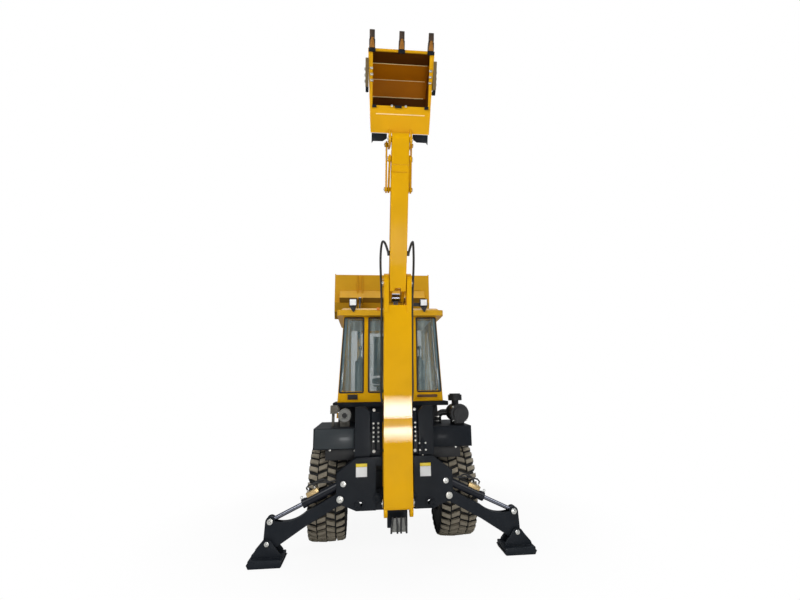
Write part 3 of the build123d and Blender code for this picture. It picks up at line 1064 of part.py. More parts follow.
export_step(dig_bucket.part, "parts/dig_bucket.step")

# Teeth on the digging bucket's lip: x of each
TOOTH_XS = (-282, 0, 282)
TOOTH_HALF_W = 30
with BuildPart() as bucket_teeth:
    for tooth_x in TOOTH_XS:
        profile = ((DIG_LIP_E + SEAT_GAP, DIG_MOUTH + 55), (DIG_LIP_E + SEAT_GAP, DIG_MOUTH - 6),
                   (DIG_TOOTH_E, DIG_MOUTH + 2), (DIG_TOOTH_E, DIG_MOUTH + 14), (DIG_LIP_E + 70, DIG_MOUTH + 52))
        side_plate([bucket_point(u, v) for u, v in profile], tooth_x - TOOTH_HALF_W, tooth_x + TOOTH_HALF_W)
bucket_teeth.part.label = "bucket_teeth"
export_step(bucket_teeth.part, "parts/bucket_teeth.step")

# Backhoe cylinders in the middle plane: name, base and eye as (y, z), sizes
MIDDLE_RAMS = (
    ("boom_ram", BOOM_RAM_BASE, BOOM_RAM_LUG, BOOM_RAM),
    ("dipper_ram", DIPPER_RAM_BASE, dipper_point(*DIPPER_TAIL), DIPPER_RAM),
    ("bucket_ram", dipper_point(*BUCKET_RAM_BASE), bucket_point(*LEVER_END), BUCKET_RAM),
)
for name, base, eye, ram in MIDDLE_RAMS:
    barrel = ram_barrel(yz(base), yz(eye), ACROSS, ram)
    barrel.label = name + "_barrel"
    export_step(barrel, "parts/" + name + "_barrel.step")
    rod = ram_rod(yz(base), yz(eye), ACROSS, ram)
    rod.label = name + "_rod"
    export_step(rod, "parts/" + name + "_rod.step")

# Loader arms with their cross tube and cylinder lugs
ARM_END = toward(ARM_PIVOT, ARM_ANGLE, ARM_LENGTH)


def arm_point(along, rise):
    """(y, z) of a point along the raised arm and above its centre line."""
    start = toward(ARM_PIVOT, ARM_ANGLE, along)
    return toward(start, ARM_ANGLE + 90, rise)


LIFT_LUG = toward(ARM_PIVOT, ARM_ANGLE - LIFT_LUG_DROP, LIFT_LUG_REACH)
TILT_BASE = arm_point(ARM_LENGTH - TILT_BASE_BACK, TILT_BASE_RISE)
TILT_LUG = toward(ARM_END, TILT_LUG_ANGLE, TILT_LUG_REACH)
ARM_PROFILE = ((-30, 66), (900, 112), (1400, 96), (ARM_LENGTH, 58), (ARM_LENGTH, -58), (1350, -78), (700, -92),
               (-30, -66))
with BuildPart() as loader_arms:
    for side in SIDES:
        x_in, x_out = side * (ARM_X - ARM_W / 2), side * (ARM_X + ARM_W / 2)
        side_plate([arm_point(u, v) for u, v in ARM_PROFILE], x_in, x_out)
        side_hull([(*ARM_PIVOT, 72), (*arm_point(60, 0), 66)], x_in, x_out)
        side_hull([(*ARM_END, 58), (*arm_point(ARM_LENGTH - 60, 0), 56)], x_in, x_out)
        for lug_side in (-1, 1):
            lug_in = side * ARM_X + lug_side * (TILT_RAM.eye_width / 2 + 1)
            side_hull([(*TILT_BASE, 36), (*arm_point(ARM_LENGTH - TILT_BASE_BACK - 100, 60), 30),
                       (*arm_point(ARM_LENGTH - TILT_BASE_BACK + 20, 60), 30)], lug_in, lug_in + lug_side * 7)
            lift_in = side * ARM_X + lug_side * (LIFT_RAM.eye_width / 2 + 1)
            side_hull([(*LIFT_LUG, LIFT_RAM.eye_r + 6), (*arm_point(LIFT_LUG_REACH - 110, 0), 50),
                       (*arm_point(LIFT_LUG_REACH + 40, 0), 50)], lift_in, lift_in + lug_side * 14)
            cross_bar(ARM_PIVOT, 62, side * ARM_X, side * ARM_X + lug_side * (ARM_W / 2 + TOWER_GAP - RUNNING_GAP))
        cross_bar(TILT_BASE, TILT_RAM.pin_r, x_in, x_out)
        pin_reach = ARM_W / 2 + RIB_GAP + LOADER_RIB_T + 8
        cross_bar(ARM_END, ARM_PIN_R, side * (ARM_X - pin_reach), side * (ARM_X + pin_reach))
        bore_reach = ARM_W / 2 + TOWER_GAP + 5
        cross_bar(ARM_PIVOT, 30 + RUNNING_GAP, side * (ARM_X - bore_reach), side * (ARM_X + bore_reach),
                  mode=Mode.SUBTRACT)
    cross_bar(arm_point(CROSS_TUBE_REACH, -10), 58, -ARM_X + ARM_W / 2, ARM_X - ARM_W / 2)
loader_arms.part.label = "loader_arms"
export_step(loader_arms.part, "parts/loader_arms.step")

# Loader cylinders, a pair each: name, base, eye, sizes
for name, base, eye, ram in (("lift_ram", LIFT_BASE, LIFT_LUG, LIFT_RAM), ("tilt_ram", TILT_BASE, TILT_LUG, TILT_RAM)):
    with BuildPart() as barrels:
        for side in SIDES:
            add(ram_barrel(yz(base) + ACROSS * side * ARM_X, yz(eye) + ACROSS * side * ARM_X, ACROSS, ram))
    barrels.part.label = name + "_barrels"
    export_step(barrels.part, "parts/" + name + "_barrels.step")
    with BuildPart() as rods:
        for side in SIDES:
            add(ram_rod(yz(base) + ACROSS * side * ARM_X, yz(eye) + ACROSS * side * ARM_X, ACROSS, ram))
    rods.part.label = name + "_rods"
    export_step(rods.part, "parts/" + name + "_rods.step")

# Loader bucket, rolled back: outside outline (y, z) from the top edge down to the lip
LOADER_BACK_Y = ARM_END[0] + LOADER_BACK_AHEAD
LOADER_TOP_Z = ARM_END[1] + LOADER_TOP_RISE
LOADER_KNEE_Z = ARM_END[1] + LOADER_KNEE_RISE
LOADER_SHIN_Z = ARM_END[1] + LOADER_SHIN_RISE
LOADER_HEEL = (ARM_END[0] + LOADER_HEEL_AHEAD, ARM_END[1] + LOADER_HEEL_RISE)
LIP = toward(LOADER_HEEL, LOADER_FLOOR_ANGLE, LOADER_FLOOR_L)
BUCKET_BACK = ((LOADER_BACK_Y, LOADER_TOP_Z), (LOADER_BACK_Y, LOADER_KNEE_Z), (LOADER_BACK_Y + 35, LOADER_SHIN_Z),
               LOADER_HEEL, LIP)
with BuildPart() as loader_bucket:
    with BuildSketch(SIDE.offset(-LOADER_HALF_W)) as skin:
        with BuildLine():
            outer_line = Polyline(*BUCKET_BACK)
            offset(outer_line, amount=LOADER_PLATE_T, side=Side.LEFT, kind=Kind.INTERSECTION)
        make_face()
    extrude(skin.sketch, amount=2 * LOADER_HALF_W)
    SIDE_SHAPE = (BUCKET_BACK[0], BUCKET_BACK[1], BUCKET_BACK[2], BUCKET_BACK[3], LIP,
                  (LIP[0] - 60, LIP[1] + 60), (LOADER_BACK_Y + 200, LOADER_TOP_Z + 18), (LOADER_BACK_Y, LOADER_TOP_Z + 18))
    for side in SIDES:
        side_plate(SIDE_SHAPE, side * LOADER_HALF_W, side * (LOADER_HALF_W - LOADER_SIDE_T))
        for rib in (-1, 1):
            rib_x = side * ARM_X + rib * (ARM_W / 2 + RIB_GAP)
            side_hull([(*ARM_END, 62), (*TILT_LUG, 40), (LOADER_BACK_Y - 5, LOADER_KNEE_Z - 50, 6),
                       (LOADER_BACK_Y + 10, LOADER_SHIN_Z, 6)],
                      rib_x, rib_x + rib * LOADER_RIB_T)
            side_plate(((LOADER_BACK_Y + 2, LOADER_TOP_Z), (LOADER_BACK_Y - 28, LOADER_TOP_Z - 10),
                        (LOADER_BACK_Y - 60, LOADER_KNEE_Z + 180), (LOADER_BACK_Y - 60, LOADER_KNEE_Z - 80),
                        (LOADER_BACK_Y + 25, LOADER_SHIN_Z + 50)),
                       rib_x, rib_x + rib * LOADER_RIB_T)
        cross_bar(ARM_END, ARM_PIN_R + RUNNING_GAP, side * (ARM_X - 80), side * (ARM_X + 80), mode=Mode.SUBTRACT)
    stiffener = ((LOADER_BACK_Y + 2, LOADER_TOP_Z - 315), (LOADER_BACK_Y - 120, LOADER_TOP_Z - 489),
                 (LOADER_BACK_Y + 2, LOADER_KNEE_Z - 8))
    side_plate(stiffener, -LOADER_HALF_W + 100, LOADER_HALF_W - 100)
    edge_start = toward(LIP, LOADER_FLOOR_ANGLE, -CUTTING_EDGE_L)
    edge_under = [toward(point, LOADER_FLOOR_ANGLE - 90, CUTTING_EDGE_T) for point in (LIP, edge_start)]
    side_plate((edge_start, LIP, *edge_under), -LOADER_HALF_W, LOADER_HALF_W)
loader_bucket.part.label = "loader_bucket"
export_step(loader_bucket.part, "parts/loader_bucket.step")

# Hoses from the boom's sides over its tip to the dipper's sides: distance from the middle, y, z
HOSE_R = 12
HOSE_BEND = 60
HOSE_ROUTE = ((152, -1100, 1590), (166, -1100, 1640), (158, -1150, 1960), (162, -1190, 2280), (158, -1235, 2600),
              (172, -1285, 2900), (176, -1300, 3040), (172, -1335, 3150), (162, -1400, 3212), (145, -1470, 3195),
              (122, -1505, 3130), (96, -1492, 3040))
with BuildPart() as boom_hoses:
    for side in SIDES:
        with BuildLine() as route:
            FilletPolyline(*[(side * x, REAR_AXLE_Y + y, z) for x, y, z in HOSE_ROUTE], radius=HOSE_BEND)
        with BuildSketch(route.line ^ 0):
            Circle(HOSE_R)
        sweep(path=route.line)
boom_hoses.part.label = "boom_hoses"
export_step(boom_hoses.part, "parts/boom_hoses.step")
for start, corner, end in zip(HOSE_ROUTE, HOSE_ROUTE[1:], HOSE_ROUTE[2:]):
    run_in = Vector(*corner) - Vector(*start)
    run_out = Vector(*end) - Vector(*corner)
    widest = 0.45 * min(run_in.length, run_out.length) / tan(radians(run_in.get_angle(run_out)) / 2)
    print("hose bend", HOSE_BEND, "of", round(widest))
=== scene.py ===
"""Looks of a backhoe loader with articulated steering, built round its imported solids.

Pieces are drawn in millimetres from the ground under the middle of the rear axle, with +Y to the
loader bucket, +X to the machine's right-hand side and Z up, and are set into the frame when they
are finished. Materials work in the frame's metres.
"""

import logging
import math
from dataclasses import dataclass
from enum import Enum
from typing import Dict, Iterable, List, Optional, Sequence, Tuple, Union

import bmesh
import bpy
from mathutils import Matrix, Vector


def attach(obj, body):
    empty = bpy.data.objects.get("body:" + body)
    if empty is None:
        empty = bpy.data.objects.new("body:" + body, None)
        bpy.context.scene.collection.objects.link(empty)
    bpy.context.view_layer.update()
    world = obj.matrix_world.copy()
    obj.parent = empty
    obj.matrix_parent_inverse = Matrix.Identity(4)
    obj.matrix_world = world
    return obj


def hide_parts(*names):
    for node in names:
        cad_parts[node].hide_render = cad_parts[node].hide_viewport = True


Point = Tuple[float, float, float]
Flat = Tuple[float, float]
Colour = Tuple[float, float, float]

LOG = logging.getLogger("backhoe_loader")
REAR_AXLE_Y = -0.744
WHEELBASE = 2.25
SIDES = (-1, 1)
HANDS = (("left", -1), ("right", 1))
HOUSE = Matrix.Translation((0.0, REAR_AXLE_Y, 0.0)) @ Matrix.Scale(0.001, 4)
WHITE = (1.0, 1.0, 1.0, 1.0)
HOSE_ROUTE: Tuple[Point, ...] = (
    (152, -1100, 1590), (166, -1100, 1640), (158, -1150, 1960), (162, -1190, 2280),
    (158, -1235, 2600), (172, -1285, 2900), (176, -1300, 3040), (172, -1335, 3150),
    (162, -1400, 3212), (145, -1470, 3195), (122, -1505, 3130), (96, -1492, 3040),
)
HOSE_DIAMETER = 0.024


class Axis(Enum):
    """Directions that round shapes are turned about."""

    X = (1.0, 0.0, 0.0)
    Y = (0.0, 1.0, 0.0)
    Z = (0.0, 0.0, 1.0)


# ---------------------------------------------------------------- surfaces


class Flow:
    """A value that changes over a surface, held as one output of a tree's nodes."""

    def __init__(self, tree: bpy.types.NodeTree, socket: bpy.types.NodeSocket) -> None:
        """Keep the tree and the socket that carries the value."""
        self.tree = tree
        self.socket = socket

    def maths(self, operation: str, first: "Term", second: "Term" = 0.0) -> "Flow":
        """Add one Math node.

        Args:
            operation: name of the node's operation.
            first: left term, a flow or a number.
            second: right term, a flow or a number.

        Returns:
            The node's result.
        """
        node = self.tree.nodes.new("ShaderNodeMath")
        node.operation = operation
        for place, term in enumerate((first, second)):
            feed(self.tree, node.inputs[place], term)
        return Flow(self.tree, node.outputs[0])

    def __add__(self, other: "Term") -> "Flow":
        """Return the sum."""
        return self.maths("ADD", self, other)

    def __sub__(self, other: "Term") -> "Flow":
        """Return the difference."""
        return self.maths("SUBTRACT", self, other)

    def __rsub__(self, other: "Term") -> "Flow":
        """Return the difference from a number."""
        return self.maths("SUBTRACT", other, self)

    def __mul__(self, other: "Term") -> "Flow":
        """Return the product."""
        return self.maths("MULTIPLY", self, other)

    def clipped(self) -> "Flow":
        """Return the value held between 0 and 1."""
        return self.maths("MAXIMUM", self.maths("MINIMUM", self, 1.0), 0.0)


Term = Union[Flow, float]


def feed(tree: bpy.types.NodeTree, socket: bpy.types.NodeSocket, value: object) -> None:
    """Link a flow to a socket, or set the socket's own value.

    Args:
        tree: the tree that holds the socket.
        socket: the input to feed.
        value: a flow, a number or a tuple of numbers.
    """
    if isinstance(value, Flow):
        tree.links.new(value.socket, socket)
    else:
        socket.default_value = value


class Tree:
    """A node tree and what is added to it."""

    def __init__(self, tree: bpy.types.NodeTree) -> None:
        """Keep the tree."""
        self.tree = tree

    def node(self, kind: str, settings: Dict[str, object], inputs: Dict[Union[str, int], object],
             output: Union[str, int] = 0) -> Flow:
        """Add any node.

        Args:
            kind: the node's type.
            settings: its own settings.
            inputs: values or flows for its sockets.
            output: the output to return.

        Returns:
            The chosen output.
        """
        node = self.tree.nodes.new(kind)
        for key, value in settings.items():
            setattr(node, key, value)
        for key, value in inputs.items():
            feed(self.tree, node.inputs[key], value)
        return Flow(self.tree, node.outputs[output])

    def seen(self) -> Flow:
        """Return 1 for rays that show a background: camera and transmission rays."""
        rays = [self.node("ShaderNodeLightPath", {}, {}, "Is %s Ray" % kind)
                for kind in ("Camera", "Transmission")]
        return rays[0].maths("MAXIMUM", *rays)

    def end(self, node: bpy.types.Node, share: Flow, first: Flow, second: Flow) -> None:
        """Mix two shaders into the output node.

        Args:
            node: the tree's output node.
            share: how much of the second shader shows.
            first: the shader at a share of 0.
            second: the shader at a share of 1.
        """
        mixed = self.node("ShaderNodeMixShader", {}, {0: share, 1: first, 2: second})
        feed(self.tree, node.inputs[0], mixed)


class Recipe(Tree):
    """One material: its node tree, its shader and its coordinates."""

    def __init__(self, name: str) -> None:
        """Start an empty material with a Principled shader.

        Args:
            name: the material's name.
        """
        self.material = bpy.data.materials.new(name)
        self.material.use_nodes = True
        super().__init__(self.material.node_tree)
        self.shader = self.tree.nodes["Principled BSDF"]
        self.place = self.node("ShaderNodeTexCoord", {}, {}, "Object")
        self.normal = self.node("ShaderNodeNewGeometry", {}, {}, "Normal")

    def noise(self, scale: float, detail: float = 3.0, rough: float = 0.55,
              where: Optional[Flow] = None) -> Flow:
        """Return a cloudy value near 0.5; scale is in waves a metre."""
        return self.node("ShaderNodeTexNoise", {}, {"Vector": where or self.place, "Scale": scale,
                                                    "Detail": detail, "Roughness": rough})

    def stretched(self, *scale: float) -> Flow:
        """Return the coordinates scaled by axis."""
        return self.node("ShaderNodeMapping", {}, {"Vector": self.place, "Scale": scale})

    def spots(self, scale: float, low: float, high: float, detail: float = 4.0) -> Flow:
        """Return patches: 0 where the noise is under low, 1 where it is over high."""
        return ((self.noise(scale, detail) - low) * (1.0 / (high - low))).clipped()

    def mix(self, share: Flow, first: object, second: object) -> Flow:
        """Return the first colour turning to the second as the share rises."""
        return self.node("ShaderNodeMix", {"data_type": "RGBA"},
                         {0: share, 6: self._colour(first), 7: self._colour(second)}, 2)

    @staticmethod
    def _colour(value: object) -> object:
        """Return a flow as it is and a colour with its alpha."""
        return value if isinstance(value, Flow) else (*value, 1.0)

    def height(self) -> Flow:
        """Return the height above the ground in metres."""
        return self.node("ShaderNodeSeparateXYZ", {}, {0: self.place}, 2)

    def facing(self, way: float) -> Flow:
        """Return 1 on faces that look up, or down for a way of -1, and 0 on upright ones."""
        return (self.node("ShaderNodeSeparateXYZ", {}, {0: self.normal}, 2) * way).clipped()

    def edges(self, radius: float) -> Tuple[Flow, Flow]:
        """Find the edges.

        Args:
            radius: how far an edge's rounding reaches, in metres.

        Returns:
            A rounded normal, and a mask of the edges.
        """
        soft = self.node("ShaderNodeBevel", {"samples": 4}, {"Radius": radius})
        same = self.node("ShaderNodeVectorMath", {"operation": "DOT_PRODUCT"},
                         {0: soft, 1: self.normal}, "Value")
        return soft, ((1.0 - same) * 6.0).clipped()

    def finish(self, colour: object, rough: Term, bump: Optional[Flow] = None, depth: float = 0.0,
               normal: Optional[Flow] = None, **values: Term) -> bpy.types.Material:
        """Feed the shader.

        Args:
            colour: base colour, a flow or three numbers.
            rough: roughness.
            bump: height of the relief.
            depth: how far the relief reaches, in metres.
            normal: the normal that the relief starts from.
            **values: shader sockets by name, with underscores for spaces.

        Returns:
            The finished material.
        """
        if bump is not None:
            inputs = {"Height": bump, "Distance": depth, "Strength": 0.6}
            if normal is not None:
                inputs["Normal"] = normal
            values["Normal"] = self.node("ShaderNodeBump", {}, inputs)
        values.update(Base_Color=self._colour(colour), Roughness=rough)
        for key, value in values.items():
            feed(self.tree, self.shader.inputs[key.replace("_", " ")], value)
        return self.material


def shaded(colour: Colour, factor: float, lift: float = 0.0) -> Colour:
    """Return a colour made lighter or darker."""
    return tuple(c * factor + lift for c in colour)


@dataclass(frozen=True)
class Finish:
    """A finish with a name and the record's slot that it belongs to."""

    name: str
    slot: str

    def material(self) -> bpy.types.Material:
        """Return the finish's material, made once."""
        return bpy.data.materials.get(self.name) or self._make(Recipe(self.name))

    def _make(self, recipe: Recipe) -> bpy.types.Material:
        """Build the material's nodes."""
        raise NotImplementedError


@dataclass(frozen=True)
class Enamel(Finish):
    """Sprayed machine paint with dust in the low places and worn edges."""

    colour: Colour
    worn: Colour
    dusty: float
    wear: float
    rough: float
    coat: float
    gloss: float = 0.25
    dust: Colour = (0.42, 0.34, 0.23)
    coat_rough: float = 0.12
    under: float = 0.0  # painted shade: how much darker the faces that look down are painted
    polish: Optional[Flat] = None  # heights that the clear coat lies between, in metres
    edge: float = 0.004
    grain: float = 0.0001

    def _make(self, recipe: Recipe) -> bpy.types.Material:
        """Mix paint, faded patches, dust by height, chipped edges and painted shade on faces that
        look down.

        Args:
            recipe: the empty material.

        Returns:
            The finished material.
        """
        faded = recipe.mix(recipe.spots(1.7, 0.35, 0.75), self.colour, shaded(self.colour, 0.82))
        streak = recipe.noise(3.0, 5.0, 0.6, recipe.stretched(9.0, 9.0, 0.8))
        runs = ((streak - 0.55) * 3.0).clipped()
        low = (1.0 - recipe.height() * 0.75).clipped()
        lying = (low * 0.8 + recipe.facing(1.0) * 0.45) * recipe.spots(7.0, 0.3, 0.72)
        settled = (lying + runs * low * 0.3) * self.dusty
        rounded_normal, edge = recipe.edges(self.edge)
        chips = edge * recipe.spots(55.0, 0.52, 0.6) * self.wear
        dusted = recipe.mix(settled.clipped(), faded, self.dust)
        colour = recipe.mix(chips.clipped(), dusted, self.worn)
        rough = settled * 0.45 + chips * 0.25 + recipe.noise(6.0) * 0.12 + (self.rough - 0.06)
        # painted shade: faces that look down turn towards a dark copy of the paint
        if self.under > 0:
            painted_underside_shade = (recipe.facing(-1.0) * 2.2).clipped() * self.under
            colour = recipe.mix(painted_underside_shade, colour, shaded(self.colour, 0.3))
        coat: Term = self.coat
        if self.polish:
            foot, head = self.polish
            above = ((recipe.height() - foot) * 9.0).clipped()
            coat = above * ((head - recipe.height()) * 9.0).clipped() * self.coat
        return recipe.finish(colour, rough, recipe.noise(420.0, 1.0), self.grain, rounded_normal,
                             Coat_Weight=coat, Coat_Roughness=self.coat_rough,
                             Specular_IOR_Level=self.gloss)


@dataclass(frozen=True)
class TreadRubber(Finish):
    """Tyre rubber with dry earth on its tread and in its grooves."""

    colour: Colour = (0.012, 0.012, 0.012)
    earth: Colour = (0.44, 0.385, 0.29)
    tread_r: float = 0.507
    lug_r: float = 0.519
    axle_z: float = 0.5375

    def _make(self, recipe: Recipe) -> bpy.types.Material:
        """Lay dusty earth on the lugs' faces by the distance from the nearer axle.

        Args:
            recipe: the empty material.

        Returns:
            The finished material.
        """
        y = recipe.node("ShaderNodeSeparateXYZ", {}, {0: recipe.place}, 1)
        fore = y.maths("GREATER_THAN", y, REAR_AXLE_Y + WHEELBASE / 2)
        reach = y - REAR_AXLE_Y - fore * WHEELBASE
        rise = recipe.height() - self.axle_z
        radius = y.maths("SQRT", reach * reach + rise * rise)
        face = ((radius - self.tread_r) * (1.0 / (self.lug_r - self.tread_r))).clipped()
        grit = recipe.spots(120.0, 0.35, 0.7)
        worn = face * (recipe.spots(16.0, 0.22, 0.62, 6.0) * 0.3 + grit * 0.3 + 0.45)
        earthy = (worn + (1.0 - face) * recipe.spots(9.0, 0.4, 0.8) * 0.03).clipped()
        mud = recipe.mix(grit, self.earth, shaded(self.earth, 0.7))
        return recipe.finish(recipe.mix(earthy, self.colour, mud), earthy * 0.2 + 0.72,
                             recipe.noise(160.0, 5.0), 0.0012, recipe.edges(0.003)[0])


@dataclass(frozen=True)
class SoftRubber(Finish):
    """Black moulded rubber of seals, hoses and boots."""

    colour: Colour = (0.01, 0.01, 0.011)
    rough: float = 0.55
    grain: float = 300.0

    def _make(self, recipe: Recipe) -> bpy.types.Material:
        """Add a faint bloom and grain.

        Args:
            recipe: the empty material.

        Returns:
            The finished material.
        """
        bloom = recipe.spots(12.0, 0.4, 0.8)
        colour = recipe.mix(bloom * 0.35, self.colour, shaded(self.colour, 2.0, 0.004))
        return recipe.finish(colour, bloom * 0.2 + self.rough, recipe.noise(self.grain), 0.0004)


@dataclass(frozen=True)
class BareMetal(Finish):
    """Bare or plated steel with fine scratches."""

    colour: Colour
    stain: Colour
    rough: float
    stained: float
    metallic: float = 1.0

    def _make(self, recipe: Recipe) -> bpy.types.Material:
        """Mix bright metal and stains.

        Args:
            recipe: the empty material.

        Returns:
            The finished material.
        """
        marks = recipe.spots(14.0, 0.45, 0.75) * self.stained
        fine = recipe.noise(380.0, 3.0)
        return recipe.finish(recipe.mix(marks, self.colour, self.stain),
                             marks * 0.4 + fine * 0.1 + self.rough, fine, 0.00012,
                             recipe.edges(0.0015)[0], Metallic=self.metallic)


@dataclass(frozen=True)
class CabGlass(Finish):
    """Tinted flat glass with a little dust at its foot."""

    colour: Colour
    clear: float
    milky: Colour = (0.5, 0.6, 0.58)
    dust_top: float = 2.45

    def _make(self, recipe: Recipe) -> bpy.types.Material:
        """Tint the pane and haze it in streaks and patches.

        Args:
            recipe: the empty material.

        Returns:
            The finished material.
        """
        streak = recipe.noise(2.2, 4.0, 0.6, recipe.stretched(9.0, 9.0, 0.55))
        bands = ((streak - 0.46) * 4.5).clipped()
        marks = recipe.spots(5.0, 0.35, 0.8) * 0.2 + recipe.spots(40.0, 0.5, 0.8) * 0.08
        foot = ((self.dust_top - recipe.height()) * 0.35).clipped()
        haze = (bands * 0.55 + marks + foot * 0.5).clipped()
        return recipe.finish(recipe.mix(haze, self.colour, self.milky), haze * 0.15 + 0.04,
                             Alpha=haze * 0.35 + self.clear, Coat_Weight=0.6, Coat_Roughness=0.02)


@dataclass(frozen=True)
class Moulding(Finish):
    """Moulded plastic with a fine grain."""

    colour: Colour
    rough: float = 0.35
    grain: float = 200.0

    def _make(self, recipe: Recipe) -> bpy.types.Material:
        """Add grain and faded patches.

        Args:
            recipe: the empty material.

        Returns:
            The finished material.
        """
        faded = recipe.spots(5.0, 0.35, 0.75)
        colour = recipe.mix(faded * 0.5, self.colour, shaded(self.colour, 1.3, 0.003))
        return recipe.finish(colour, faded * 0.12 + self.rough, recipe.noise(self.grain, 2.0),
                             0.0003, recipe.edges(0.002)[0])


@dataclass(frozen=True)
class SeatCloth(Finish):
    """Woven seat cloth with a fine rib."""

    colour: Colour = (0.045, 0.048, 0.055)
    light: Colour = (0.11, 0.115, 0.125)
    threads: float = 420.0

    def _make(self, recipe: Recipe) -> bpy.types.Material:
        """Cross two sets of threads.

        Args:
            recipe: the empty material.

        Returns:
            The finished material.
        """
        rows, columns = (
            recipe.node("ShaderNodeTexWave", {"bands_direction": way},
                        {"Vector": recipe.place, "Scale": self.threads / 6.3, "Distortion": 0.6}, 1)
            for way in "XZ")
        weave = rows * 0.5 + columns * 0.5
        share = (weave * 0.6 + recipe.noise(30.0) * 0.4).clipped()
        return recipe.finish(recipe.mix(share, self.colour, self.light), 0.88, weave, 0.0006,
                             Sheen_Weight=0.3)


PAINT = (0.78, 0.4, 0.002)
PRIMER = (0.2, 0.13, 0.06)
SCUFF = (0.16, 0.12, 0.09)
SOOT = (0.06, 0.06, 0.06)


